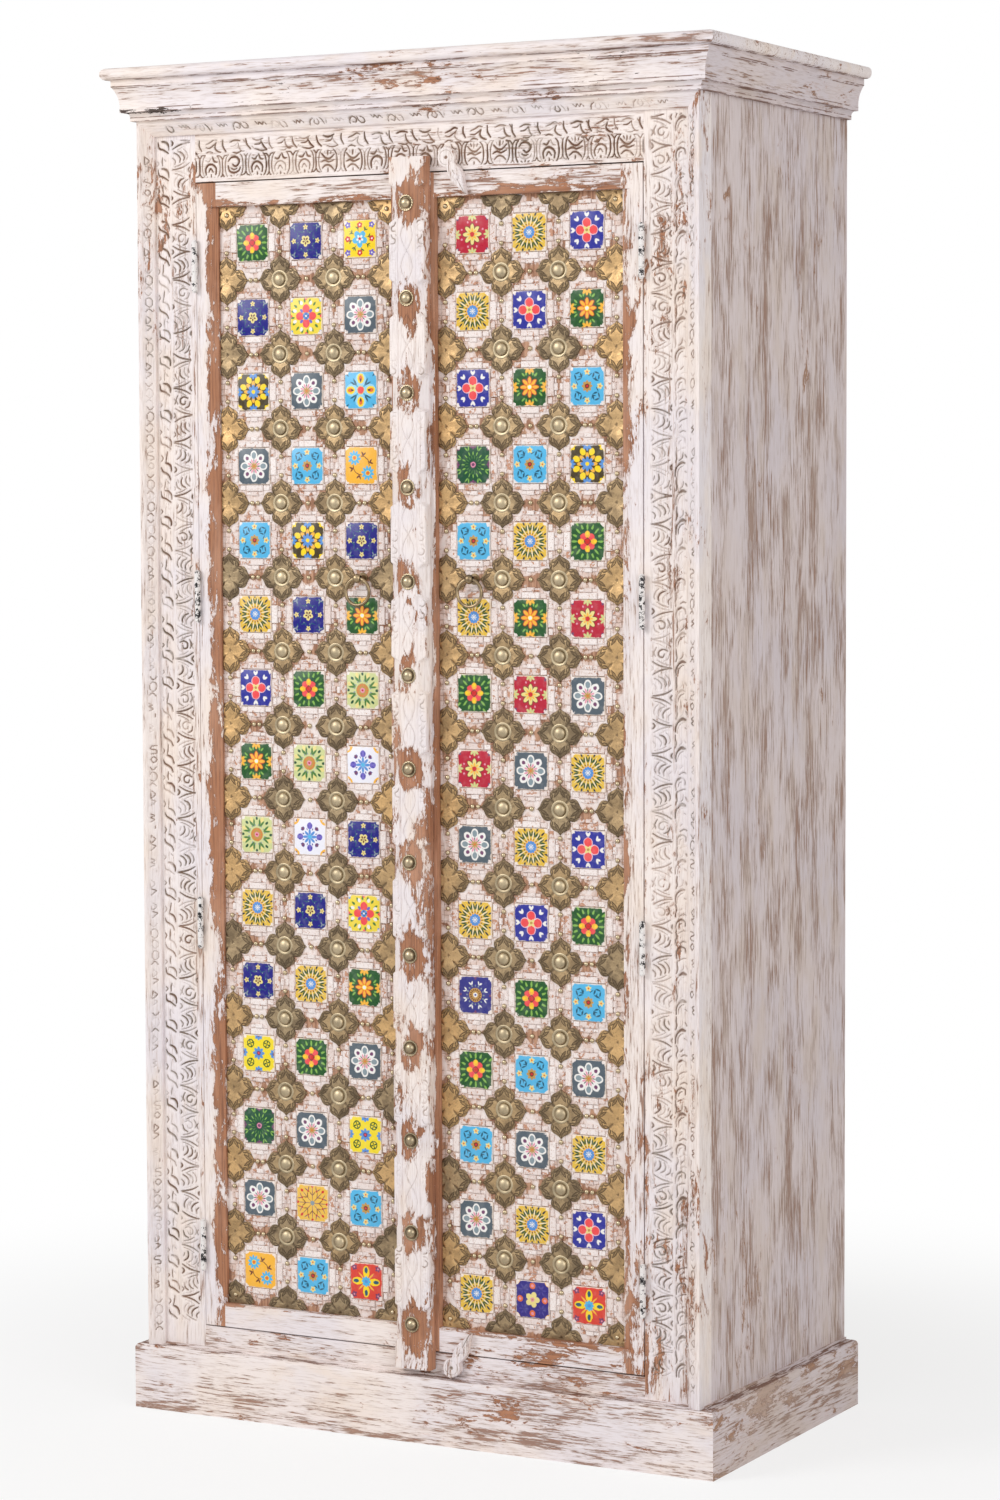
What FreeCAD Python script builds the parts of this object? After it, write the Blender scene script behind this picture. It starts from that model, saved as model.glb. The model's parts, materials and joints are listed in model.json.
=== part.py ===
"""Tall carved cabinet with two tiled doors.

Millimetres. X runs to the right as seen from the front, Y to the back, Z up.
The origin is on the floor, under the middle of the whole object.
"""
import FreeCAD, Part
import math
import os

Vector = FreeCAD.Vector

# Overall sizes
height = 1850.0
body_width = 848.0
body_depth = 474.0
cornice_reach = 36.0

# Carcass boards
side_thickness = 18.0
back_thickness = 6.0
back_rebate = 9.0
floor_thickness = 18.0
floor_below_opening = 2.0
top_board_thickness = 18.0
shelf_thickness = 16.0
shelf_count = 3
shelf_setback = 20.0
shelf_end_play = 1.0
batten_width = 18.0
batten_height = 22.0
batten_setback = 14.0
glue_block = 34.0
stop_width = 30.0
stop_thickness = 12.0
stop_lap = 14.0
stop_end_clearance = 36.0
stop_to_door = 1.0

# Face frame and its mouldings
frame_thickness = 22.0
stile_width = 85.0
bottom_rail_shown = 32.0
top_rail_shown = 84.5
moulding_width = 20.5
moulding_proud = 15.0
moulding_lip = 3.0
moulding_inner = 4.0

# Cornice
cap_thickness = 16.0
cap_nose = 7.0
crown_height = 54.5
crown_reach = 25.0
crown_foot_share = 0.25
crown_bead_shares = (0.25, 0.09)
crown_cove_end_shares = (0.42, 0.21)
crown_cove_mid_shares = (0.30, 0.17)
crown_fillet_shares = (0.66, 0.30)
crown_cyma_mid_shares = (0.72, 0.58)
crown_cyma_end_shares = (0.93, 0.80)
crown_band_shares = (1.0, 0.84)

# Plinth
plinth_height = 90.0
plinth_side_thickness = 20.8
plinth_front_thickness = 17.6
plinth_back_thickness = 18.0
plinth_round = 6.0
plinth_bead = 3.0

# Doors
door_thickness = 22.0
door_proud = 1.0
door_end_gap = 2.0
hinge_gap = 1.5
meeting_play = 0.9
door_stile_width = 31.0
door_rail_width = 32.0
stile_flat = 16.0
stile_bevel_drop = 6.0
panel_recess = 11.0
panel_thickness = 9.0
groove_depth = 6.0
groove_play = 0.1
panel_end_play = 0.8

# Tiles, blocks and brass on the door panels
tile_size = 50.0
tile_thickness = 5.0
tile_pocket = 2.0
tile_play = 0.2
tile_pitch_x = 84.2
tile_pitch_z_near = 100.4
block_height = 3.0
block_joint = 0.6
upper_block_width = 26.0
upper_block_depth = 8.5
upper_step_width = 11.0
upper_step_depth = 6.0
side_block_width = 24.0
side_block_depth = 9.6
side_step_width = 9.0
side_step_depth = 5.2
brass_thickness = 1.2
brass_edge_play = 0.4
flower_reach_x = 34.0
flower_reach_z = 33.5
petal_notch_share = 0.40
petal_belly_shares = (0.455, 0.58)
petal_shoulder_shares = (0.33, 0.78)
petal_neck_shares = (0.12, 0.88)
boss_rim_radius = 13.0
boss_rim_height = 1.4
boss_dome_radius = 10.0
boss_dome_height = 4.4
nail_radius = 3.5
nail_seat_height = 0.8
nail_dome_radius = 3.4
nail_dome_height = 3.0
nail_to_tip = 0.4
corner_nail_inset = 12.0

# Hinges
hinge_count = 4
hinge_length = 68.0
hinge_end = 112.0
knuckle_count = 5
knuckle_radius = 4.0
knuckle_gap = 0.3
knuckle_clearance = 0.4
leaf_thickness = 1.2
leaf_play = 0.05
leaf_width = 19.0
leaf_root = 1.5
mortise_play = 0.1
pin_radius = 1.5
pin_play = 0.05
pin_head_radius = 2.6
pin_head_height = 1.4
leaf_screw_head = 2.8
leaf_screw_shank = 1.3
leaf_screw_length = 14.0
leaf_screw_spread = 20.0
screw_play = 0.05

# Ring pulls
pull_row = 5
pull_plate_radius = 7.5
pull_plate_thickness = 1.2
pull_post_radius = 4.5
pull_ball_radius = 6.5
pull_stand = 4.0
ring_radius = 18.0
ring_wire = 2.25
ring_play = 0.2

# Astragal and its studs
astragal_width = 55.0
astragal_shift = -0.5
astragal_proud = 16.0
astragal_edge = 4.0
astragal_flat = 27.0
astragal_relief = 0.5
astragal_relief_start = 0.2
astragal_below_opening = 22.0
astragal_above_opening = 19.0
astragal_stud_count = 13
astragal_stud_end = 60.5
astragal_stud_rim = 11.5
astragal_stud_rim_height = 1.6
astragal_stud_dome = 8.5
astragal_stud_dome_height = 5.4

# Turn catches
catch_x = 71.0
catch_on_rail = 8.0
catch_tilt_deg = 60.0
catch_thickness = 10.0
catch_play = 0.3
catch_disc_offset = 30.0
catch_disc_radius = 13.0
catch_dimple_radius = 3.0
catch_dimple_depth = 2.0
catch_neck = 7.0
catch_neck_offset = 17.0
catch_leaf_width = 19.0
catch_leaf_length = 26.0
catch_belly_shares = (-0.25, 1.0)
catch_shoulder_shares = (0.40, 0.56)
catch_screw_shank = 2.0
catch_screw_head = 4.2
catch_screw_rim_height = 0.8
catch_screw_dome = 3.8
catch_screw_dome_height = 1.6
catch_screw_length = 12.0
catch_screw_play = 0.1

# One overrun for every cut
over = 5.0

# Planes and edges that follow from the sizes
half = body_width / 2
depth = body_depth + cornice_reach
back_y = depth / 2
moulding_y = back_y - body_depth
frame_y = moulding_y + moulding_proud
frame_back = frame_y + frame_thickness
cap_z = height - cap_thickness
crown_z = cap_z - crown_height
inside = half - side_thickness
opening_half = half - stile_width
opening_bottom = plinth_height + bottom_rail_shown
opening_top = crown_z - top_rail_shown
floor_z = opening_bottom - floor_below_opening
floor_under = floor_z - floor_thickness
top_board_z = crown_z - top_board_thickness
back_inner = back_y - back_thickness

door_face = frame_y - door_proud
door_back = door_face + door_thickness
knuckle_y = door_face - knuckle_radius - knuckle_clearance
hinge_x = opening_half - hinge_gap / 2
swing_bulge = (door_back - knuckle_y) ** 2 / (2 * hinge_x)
door_x0 = swing_bulge + meeting_play / 2
door_x1 = opening_half - hinge_gap
door_z0 = opening_bottom + door_end_gap
door_z1 = opening_top - door_end_gap
panel_x0 = door_x0 + door_stile_width
panel_x1 = door_x1 - door_stile_width
panel_z0 = door_z0 + door_rail_width
panel_z1 = door_z1 - door_rail_width
panel_face = door_face + panel_recess
groove_y0 = panel_face - groove_play
groove_y1 = panel_face + panel_thickness + groove_play

tile_columns = int((panel_x1 - panel_x0 - tile_size) / tile_pitch_x) + 1
tile_rows = round((panel_z1 - panel_z0) / tile_pitch_z_near)
tile_pitch_z = (panel_z1 - panel_z0) / tile_rows
pattern_x = (panel_x0 + panel_x1) / 2 - (tile_columns - 1) * tile_pitch_x / 2
pattern_z = panel_z0 + tile_pitch_z / 2


def box(x0, x1, y0, y1, z0, z1):
    """A box between two corners."""
    return Part.makeBox(x1 - x0, y1 - y0, z1 - z0, Vector(x0, y0, z0))


def polygon(points):
    """A flat face through a closed list of points."""
    return Part.Face(Part.makePolygon(points + points[:1]))


def plan_prism(outline, z0, z1):
    """An outline in X and Y, carried up from z0 to z1."""
    face = polygon([Vector(x, y, z0) for x, y in outline])
    return face.extrude(Vector(0, 0, z1 - z0))


def front_prism(outline, y0, y1):
    """An outline in X and Z, carried back from y0 to y1."""
    face = polygon([Vector(x, y0, z) for x, z in outline])
    return face.extrude(Vector(0, y1 - y0, 0))


def cylinder(radius, start, direction, length):
    return Part.makeCylinder(radius, length, start, direction)


def lathe(profile, start, direction):
    """Turns a profile of (radius, height) edges about its height axis, which points along direction."""
    wire = Part.Wire(profile)
    solid = Part.Face(wire).revolve(Vector(0, 0, 0), Vector(0, 0, 1), 360)
    solid.Placement = FreeCAD.Placement(start, FreeCAD.Rotation(Vector(0, 0, 1), direction))
    return solid


def line(a, b):
    return Part.LineSegment(a, b).toShape()


def arc(a, middle, b):
    return Part.Arc(a, middle, b).toShape()


def domed_profile(rim_radius, rim_height, dome_radius, dome_height):
    """A flat rim with a spherical dome on it, as edges in X and Z."""
    sphere = (dome_radius ** 2 + dome_height ** 2) / (2 * dome_height)
    half_angle = math.asin(dome_radius / sphere) / 2
    middle = Vector(sphere * math.sin(half_angle), 0,
                    rim_height + dome_height - sphere * (1 - math.cos(half_angle)))
    foot, rim = Vector(0, 0, 0), Vector(rim_radius, 0, 0)
    rim_top, dome_foot = Vector(rim_radius, 0, rim_height), Vector(dome_radius, 0, rim_height)
    top = Vector(0, 0, rim_height + dome_height)
    return [line(foot, rim), line(rim, rim_top), line(rim_top, dome_foot),
            arc(dome_foot, middle, top), line(top, foot)]


def mirrored(shape):
    """The same piece on the left."""
    return shape.mirror(Vector(0, 0, 0), Vector(1, 0, 0))


# Carcass


def side_panel():
    board = box(inside, half, frame_back, back_y, 0, cap_z)
    rebate = box(inside - over, inside + back_rebate, back_inner, back_y + over, floor_under, cap_z + over)
    return board.cut(rebate)


def back_panel():
    reach = inside + back_rebate
    return box(-reach, reach, back_inner, back_y, floor_under, cap_z)


def shelf_level(index):
    """Height of a shelf's underside, with the shelves spread evenly between floor and top board."""
    clear = (top_board_z - floor_z - shelf_count * shelf_thickness) / (shelf_count + 1)
    return floor_z + clear * (index + 1) + shelf_thickness * index


def shelf(index):
    reach = inside - shelf_end_play
    z = shelf_level(index)
    return box(-reach, reach, door_back + shelf_setback, back_inner, z, z + shelf_thickness)


def shelf_battens():
    y0 = door_back + shelf_setback + batten_setback
    battens = []
    for index in range(shelf_count):
        z = shelf_level(index)
        right = box(inside - batten_width, inside, y0, back_inner, z - batten_height, z)
        battens += [right, mirrored(right)]
    return battens


def glue_blocks():
    """Four blocks in the corners under the floor board."""
    blocks = []
    for y in (frame_back, back_y - plinth_back_thickness - glue_block):
        right = box(inside - glue_block, inside, y, y + glue_block, floor_under - glue_block, floor_under)
        blocks += [right, mirrored(right)]
    return blocks


def door_stops():
    """Strips behind the doors: one on the top rail's back, one on the floor board's front edge."""
    reach = inside - stop_end_clearance
    y0 = door_back + stop_to_door
    y1, upper_foot = y0 + stop_thickness, opening_top - stop_lap
    upper = box(-reach, reach, y0, y1, upper_foot, upper_foot + stop_width)
    lower = box(-reach, reach, y0, y1, floor_z, opening_bottom + stop_lap)
    return [upper, lower]


# Face frame


def hinge_levels():
    """Heights of the hinges' middles, evenly spaced on the door."""
    low, high = door_z0 + hinge_end, door_z1 - hinge_end
    return [low + (high - low) * i / (hinge_count - 1) for i in range(hinge_count)]


def hinge_screw_levels(z):
    return [z - leaf_screw_spread, z + leaf_screw_spread]


def leaf_reach():
    """How far a leaf's outer face lies from the hinge's axis."""
    return leaf_play + leaf_thickness


def leaf_start():
    return knuckle_y + knuckle_radius + knuckle_gap


def mortise(x_edge, sign):
    """Pockets and screw holes of all leaves in one wooden edge. sign is +1 for the frame, -1 for the door."""
    x_leaf = hinge_x + sign * (leaf_reach() + mortise_play / 2)
    pockets = []
    for z in hinge_levels():
        x0, x1 = sorted((x_edge - sign * over, x_leaf))
        reach = hinge_length / 2 + mortise_play
        pockets.append(box(x0, x1, leaf_start() - over, leaf_start() + leaf_width + mortise_play,
                           z - reach, z + reach))
        for level in hinge_screw_levels(z):
            start = Vector(hinge_x, leaf_start() + leaf_width / 2, level)
            pockets.append(cylinder(leaf_screw_shank + screw_play, start, Vector(sign, 0, 0),
                                    leaf_reach() + leaf_screw_length + screw_play))
    return pockets


def stile():
    board = box(opening_half, half, frame_y, frame_back, 0, cap_z)
    return board.cut(mortise(opening_half, 1))


def top_rail():
    return box(-opening_half, opening_half, frame_y, frame_back, opening_top, cap_z)


def bottom_rail():
    return box(-opening_half, opening_half, frame_y, frame_back, 0, opening_bottom)


def moulding_section():
    """The chamfered section as (inset from the outer edge, how proud)."""
    return [(0, 0), (0, moulding_proud), (moulding_lip, moulding_proud),
            (moulding_width, moulding_inner), (moulding_width, 0)]


def frame_moulding_side():
    outline = [(half - inset, frame_y - proud) for inset, proud in moulding_section()]
    strip = plan_prism(outline, plinth_height, crown_z)
    corner = [(half - moulding_width, crown_z - moulding_width), (half, crown_z),
              (half - moulding_width, crown_z)]
    return strip.cut(front_prism(corner, moulding_y - over, frame_y + over))


def frame_moulding_top():
    face = polygon([Vector(-half, frame_y - proud, crown_z - inset) for inset, proud in moulding_section()])
    strip = face.extrude(Vector(body_width, 0, 0))
    corner = [(half - moulding_width, crown_z - moulding_width), (half, crown_z),
              (half, crown_z - moulding_width)]
    waste = front_prism(corner, moulding_y - over, frame_y + over)
    return strip.cut([waste, mirrored(waste)])


# Cornice


def crown_edges(place):
    """Outline of the crown's section. place turns (reach, height above the foot) into a point."""
    def at(shares):
        return place(shares[0] * crown_reach, shares[1] * crown_height)

    foot, inner_top = place(0, 0), place(0, crown_height)
    toe, bead = place(crown_foot_share * crown_reach, 0), at(crown_bead_shares)
    cove, fillet = at(crown_cove_end_shares), at(crown_fillet_shares)
    fillet_foot = place(crown_fillet_shares[0] * crown_reach, crown_cove_end_shares[1] * crown_height)
    cyma, band = at(crown_cyma_end_shares), at(crown_band_shares)
    outer_top = place(crown_band_shares[0] * crown_reach, crown_height)
    return [line(foot, toe), line(toe, bead), arc(bead, at(crown_cove_mid_shares), cove),
            line(cove, fillet_foot), line(fillet_foot, fillet), arc(fillet, at(crown_cyma_mid_shares), cyma),
            line(cyma, band), line(band, outer_top), line(outer_top, inner_top), line(inner_top, foot)]


def corner_waste(inner, outer, back):
    """Prisms that cut a mitre through inner and outer: one for the front strip, one for the side strip."""
    far = (2 * outer[0] - inner[0], 2 * outer[1] - inner[1])
    front = [inner, far, (far[0] + over, far[1]), (far[0] + over, back), (inner[0], back)]
    side = [inner, far, (inner[0], far[1])]
    return (plan_prism(front, -over, height + over), plan_prism(side, -over, height + over))


def crown_front():
    """The front strip fills the space before the frame's face, and its ends are mitred."""
    length = half + crown_reach
    moulded = crown_edges(lambda reach, up: Vector(-length, moulding_y - reach, crown_z + up))
    strip = Part.Face(Part.Wire(moulded)).extrude(Vector(2 * length, 0, 0))
    backing = box(-half, half, moulding_y, frame_y, crown_z, cap_z)
    waste, _ = corner_waste((half, moulding_y), (half + crown_reach, moulding_y - crown_reach), back_y)
    return strip.cut([waste, mirrored(waste)]).fuse(backing).removeSplitter()


def crown_side():
    start = moulding_y - crown_reach
    moulded = crown_edges(lambda reach, up: Vector(half + reach, start, crown_z + up))
    strip = Part.Face(Part.Wire(moulded)).extrude(Vector(0, back_y - start, 0))
    _, waste = corner_waste((half, moulding_y), (half + crown_reach, moulding_y - crown_reach), back_y)
    return strip.cut(waste)


def cornice_cap():
    reach = half + cornice_reach
    board = box(-reach, reach, moulding_y - cornice_reach, back_y, cap_z, height)
    edges = []
    for edge in board.Edges:
        middle = edge.CenterOfMass
        level = abs(middle.z - cap_z) < over / 2 or abs(middle.z - height) < over / 2
        back = abs(middle.y - back_y) < over / 2
        if level and not back:
            edges.append(edge)
    return board.makeFillet(cap_nose, edges)


# Plinth


def plinth_edges(thickness, place):
    """A board's section with its outer top edge rounded."""
    corner = plinth_round * (1 - math.sqrt(0.5))
    foot, inner_top = place(0, 0), place(0, plinth_height)
    outer_foot, outer_top = place(thickness, 0), place(thickness, plinth_height - plinth_round)
    middle = place(thickness - corner, plinth_height - corner)
    ledge = place(thickness - plinth_round, plinth_height)
    return [line(foot, outer_foot), line(outer_foot, outer_top), arc(outer_top, middle, ledge),
            line(ledge, inner_top), line(inner_top, foot)]


def plinth_corner():
    outer = (half + plinth_side_thickness, frame_y - plinth_front_thickness)
    return corner_waste((half, frame_y), outer, back_y)


def plinth_front():
    length = half + plinth_side_thickness
    section = plinth_edges(plinth_front_thickness, lambda out, up: Vector(-length, frame_y - out, up))
    strip = Part.Face(Part.Wire(section)).extrude(Vector(2 * length, 0, 0))
    waste, _ = plinth_corner()
    reach = half - moulding_width
    bead = box(-reach, reach, frame_y - plinth_bead, frame_y, plinth_height, plinth_height + plinth_bead)
    return strip.cut([waste, mirrored(waste)]).fuse(bead).removeSplitter()


def plinth_side():
    start = frame_y - plinth_front_thickness
    section = plinth_edges(plinth_side_thickness, lambda out, up: Vector(half + out, start, up))
    strip = Part.Face(Part.Wire(section)).extrude(Vector(0, back_y - start, 0))
    _, waste = plinth_corner()
    bead = box(half, half + plinth_bead, frame_y, back_y, plinth_height, plinth_height + plinth_bead)
    return strip.cut(waste).fuse(bead).removeSplitter()


# Door frames and panels


def hinge_stile():
    board = box(panel_x1, door_x1, door_face, door_back, door_z0, door_z1)
    groove = box(panel_x1 - over, panel_x1 + groove_depth, groove_y0, groove_y1,
                 door_z0 - over, door_z1 + over)
    bevel = [(panel_x1 - over, door_face - over), (panel_x1 - over, door_face + stile_bevel_drop),
             (panel_x1, door_face + stile_bevel_drop), (door_x1 - stile_flat, door_face),
             (door_x1 - stile_flat, door_face - over)]
    return board.cut([groove, plan_prism(bevel, panel_z0, panel_z1)] + mortise(door_x1, -1))


def meeting_stile():
    board = box(door_x0, panel_x0, door_face, door_back, door_z0, door_z1)
    groove = box(panel_x0 - groove_depth, panel_x0 + over, groove_y0, groove_y1,
                 door_z0 - over, door_z1 + over)
    return board.cut(groove)


def door_rail(z0, z1, inner):
    """A rail between the stiles with stub tenons in their groove. inner is its edge on the panel's side."""
    board = box(panel_x0, panel_x1, door_face, door_back, z0, z1)
    reach = groove_depth - groove_play
    tenons = box(panel_x0 - reach, panel_x1 + reach, panel_face, panel_face + panel_thickness, z0, z1)
    depth_z = groove_depth if inner == z0 else -groove_depth
    low, high = sorted((inner + depth_z, inner - math.copysign(over, depth_z)))
    groove = box(panel_x0 - groove_depth - over, panel_x1 + groove_depth + over,
                 groove_y0, groove_y1, low, high)
    return board.fuse(tenons).cut(groove)


def catch_screw_hole(pivot):
    return cylinder(catch_screw_shank + screw_play, Vector(pivot[0], door_face - over, pivot[1]),
                    Vector(0, 1, 0), over + catch_screw_length + screw_play)


def catch_pivots():
    """Where the catches turn, as (x, z): on the top rail and on the bottom rail."""
    return ((catch_x, door_z1 - catch_on_rail), (catch_x, door_z0 + catch_on_rail))


def door_top_rail():
    return door_rail(panel_z1, door_z1, panel_z1)


def door_bottom_rail():
    return door_rail(door_z0, panel_z0, panel_z0)


def tile_places():
    return [(pattern_x + i * tile_pitch_x, pattern_z + j * tile_pitch_z)
            for j in range(tile_rows) for i in range(tile_columns)]


def tile_box(x, z, play, y0):
    reach = tile_size / 2 + play
    return box(x - reach, x + reach, y0, panel_face + tile_pocket, z - reach, z + reach)


def door_panel():
    reach = groove_depth - panel_end_play
    board = box(panel_x0 - reach, panel_x1 + reach, panel_face, panel_face + panel_thickness,
                panel_z0 - reach, panel_z1 + reach)
    return board.cut([tile_box(x, z, tile_play, panel_face - over) for x, z in tile_places()])


def tiles():
    front = panel_face + tile_pocket - tile_thickness
    return [tile_box(x, z, 0, front) for x, z in tile_places()]


def stepped_outline(width, depth_out, step_width, step_out):
    """Half outlines joined: a wide block against the tile and a narrow step beyond it."""
    start = tile_size / 2 + block_joint
    wide, narrow = width / 2, step_width / 2
    return [(-wide, start), (wide, start), (wide, start + depth_out), (narrow, start + depth_out),
            (narrow, start + depth_out + step_out), (-narrow, start + depth_out + step_out),
            (-narrow, start + depth_out), (-wide, start + depth_out)]


def stepped_blocks():
    upper = stepped_outline(upper_block_width, upper_block_depth, upper_step_width, upper_step_depth)
    side = stepped_outline(side_block_width, side_block_depth, side_step_width, side_step_depth)
    blocks = []
    for x, z in tile_places():
        for way in (1, -1):
            above = [(x + a, z + way * b) for a, b in upper]
            beside = [(x + way * b, z + a) for a, b in side]
            for outline in (above, beside):
                blocks.append(front_prism(outline, panel_face - block_height, panel_face))
    return blocks


# Brass on the panels


def flower_places():
    """Every flower as (x, z, column, row), with the clipped ones on the panel's edges."""
    return [(pattern_x + (i - 0.5) * tile_pitch_x, pattern_z + (j - 0.5) * tile_pitch_z, i, j)
            for j in range(tile_rows + 1) for i in range(tile_columns + 1)]


def on_side_edge(column):
    return column in (0, tile_columns)


def on_end_edge(row):
    return row in (0, tile_rows)


def petal_point(angle, across, along):
    """A point of a petal, given as shares of the flower's reach and turned by angle."""
    c, s = round(math.cos(angle)), round(math.sin(angle))
    return Vector((across * c + along * s) * flower_reach_x, 0, (along * c - across * s) * flower_reach_z)


def flower_face():
    """Four pointed petals: each side swells out of the notch, then draws in to the tip."""
    edges = []
    for turn in range(4):
        angle = turn * math.pi / 2

        def at(across, along):
            return petal_point(angle, across, along)

        notch = petal_notch_share
        for side in (-1, 1):
            start, belly = at(side * notch, notch), at(side * petal_belly_shares[0], petal_belly_shares[1])
            shoulder = at(side * petal_shoulder_shares[0], petal_shoulder_shares[1])
            neck, tip = at(side * petal_neck_shares[0], petal_neck_shares[1]), at(0, 1)
            edges += [arc(start, belly, shoulder), arc(shoulder, neck, tip)]
    return Part.Face(Part.Wire(Part.__sortEdges__(edges)))


def brass_flowers():
    plate = flower_face().extrude(Vector(0, -brass_thickness, 0))
    window = box(panel_x0 + brass_edge_play, panel_x1 - brass_edge_play, panel_face - brass_thickness - over,
                 panel_face + over, panel_z0 + brass_edge_play, panel_z1 - brass_edge_play)
    flowers = []
    for x, z, column, row in flower_places():
        flower = plate.copy()
        flower.translate(Vector(x, panel_face, z))
        if on_side_edge(column) or on_end_edge(row):
            flowers += flower.common(window).Solids
        else:
            flowers.append(flower)
    return flowers


def pull_place():
    """Where the ring pull's post stands, as (x, z): between two tiles of the column next to the astragal."""
    row = tile_rows - pull_row
    return pattern_x, pattern_z + (row - 0.5) * tile_pitch_z


def nail_places():
    """Ball nails just beyond the petals' tips, as (x, z)."""
    beyond = nail_to_tip + nail_radius
    reach_x, reach_z = flower_reach_x + beyond, flower_reach_z + beyond
    places = []
    for x, z, column, row in flower_places():
        corner = on_side_edge(column) and on_end_edge(row)
        for way in (1, -1):
            if not corner:
                places.append((x, z + way * reach_z))
            shared = 0 < column + (way - 1) / 2 < tile_columns - 1
            if not on_end_edge(row) and not shared:
                places.append((x + way * reach_x, z))
            if not on_end_edge(row) and shared and way == 1:
                places.append((x + tile_pitch_x / 2, z))
    return [place for place in places if nail_has_room(*place)]


def corner_nail_places():
    """One ball nail on each quarter flower."""
    return [(x, z) for x in (panel_x0 + corner_nail_inset, panel_x1 - corner_nail_inset)
            for z in (panel_z0 + corner_nail_inset, panel_z1 - corner_nail_inset)]


def nail_has_room(x, z):
    pull_x, pull_z = pull_place()
    clear_of_pull = math.hypot(x - pull_x, z - pull_z) > pull_plate_radius + nail_radius
    inside_x = panel_x0 + nail_radius < x < panel_x1 - nail_radius
    inside_z = panel_z0 + nail_radius < z < panel_z1 - nail_radius
    return clear_of_pull and inside_x and inside_z


def on_panel(master, x, z, out):
    piece = master.copy()
    piece.translate(Vector(x, panel_face - out, z))
    return piece


def brass_studs():
    """Domed bosses on the whole flowers, and the ball nails."""
    forward = Vector(0, -1, 0)
    origin = Vector(0, 0, 0)
    boss = lathe(domed_profile(boss_rim_radius, boss_rim_height, boss_dome_radius, boss_dome_height),
                 origin, forward)
    nail = lathe(domed_profile(nail_radius, nail_seat_height, nail_dome_radius, nail_dome_height),
                 origin, forward)
    studs = [on_panel(boss, x, z, brass_thickness) for x, z, column, row in flower_places()
             if not on_side_edge(column) and not on_end_edge(row)]
    studs += [on_panel(nail, x, z, brass_thickness) for x, z in corner_nail_places()]
    return studs + [on_panel(nail, x, z, 0) for x, z in nail_places()]


# Hinges


def knuckle_spans(first):
    """Lower and upper end of every second knuckle, measured from the hinge's middle."""
    pitch = hinge_length / knuckle_count
    starts = [i * pitch - hinge_length / 2 for i in range(first, knuckle_count, 2)]
    return [(start + knuckle_gap / 2, start + pitch - knuckle_gap / 2) for start in starts]


def hinge_leaf(z, sign, first):
    """One leaf with its knuckles. sign is +1 for the leaf on the frame, -1 for the one on the door."""
    x0, x1 = sorted((hinge_x + sign * leaf_play, hinge_x + sign * leaf_reach()))
    leaf = box(x0, x1, leaf_start(), leaf_start() + leaf_width, z - hinge_length / 2, z + hinge_length / 2)
    up = Vector(0, 0, 1)
    for low, high in knuckle_spans(first):
        tab = box(x0, x1, knuckle_y + pin_radius + leaf_root, leaf_start(), z + low, z + high)
        barrel = cylinder(knuckle_radius, Vector(hinge_x, knuckle_y, z + low), up, high - low)
        leaf = leaf.fuse([tab, barrel])
    bore = cylinder(pin_radius + pin_play, Vector(hinge_x, knuckle_y, z - hinge_length), up, 2 * hinge_length)
    holes = [bore]
    for level in hinge_screw_levels(z):
        holes.append(leaf_screw_cone(level, sign, screw_play))
    return leaf.cut(holes).removeSplitter()


def leaf_screw_cone(level, sign, play):
    start = Vector(hinge_x + sign * leaf_play, leaf_start() + leaf_width / 2, level)
    return Part.makeCone(leaf_screw_head + play, leaf_screw_shank + play, leaf_thickness,
                         start, Vector(sign, 0, 0))


def leaf_screws(sign):
    screws = []
    for z in hinge_levels():
        for level in hinge_screw_levels(z):
            start = Vector(hinge_x + sign * leaf_reach(), leaf_start() + leaf_width / 2, level)
            shank = cylinder(leaf_screw_shank, start, Vector(sign, 0, 0), leaf_screw_length)
            screws.append(leaf_screw_cone(level, sign, 0).fuse(shank).removeSplitter())
    return screws


def hinge_pins():
    pins = []
    up = Vector(0, 0, 1)
    reach = hinge_length / 2 + knuckle_gap
    for z in hinge_levels():
        pin = cylinder(pin_radius, Vector(hinge_x, knuckle_y, z - reach), up, 2 * reach)
        heads = [cylinder(pin_head_radius, Vector(hinge_x, knuckle_y, start), up, pin_head_height)
                 for start in (z - reach - pin_head_height, z + reach)]
        pins.append(pin.fuse(heads).removeSplitter())
    return pins


# Ring pulls


def pull_axis():
    """A point on the line about which the ring swings."""
    x, z = pull_place()
    return Vector(x, door_face - pull_stand, z)


def ring_boss():
    """Plate on the panel, post, and a ball with a cross hole for the ring."""
    x, z = pull_place()
    centre = pull_axis()
    forward = Vector(0, -1, 0)
    plate = cylinder(pull_plate_radius, Vector(x, panel_face, z), forward, pull_plate_thickness)
    post = cylinder(pull_post_radius, Vector(x, panel_face, z), forward, panel_face - centre.y)
    ball = Part.makeSphere(pull_ball_radius, centre)
    sag = ring_radius - math.sqrt(ring_radius ** 2 - pull_ball_radius ** 2)
    reach = pull_ball_radius + over
    hole = cylinder(ring_wire + sag + ring_play, centre - Vector(reach, 0, 0), Vector(1, 0, 0), 2 * reach)
    return plate.fuse([post, ball]).cut(hole).removeSplitter()


def pull_ring():
    return Part.makeTorus(ring_radius, ring_wire, pull_axis() - Vector(0, 0, ring_radius), Vector(0, 1, 0))


# Astragal and catches on the right door


def astragal_top():
    return door_face - astragal_proud


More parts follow.
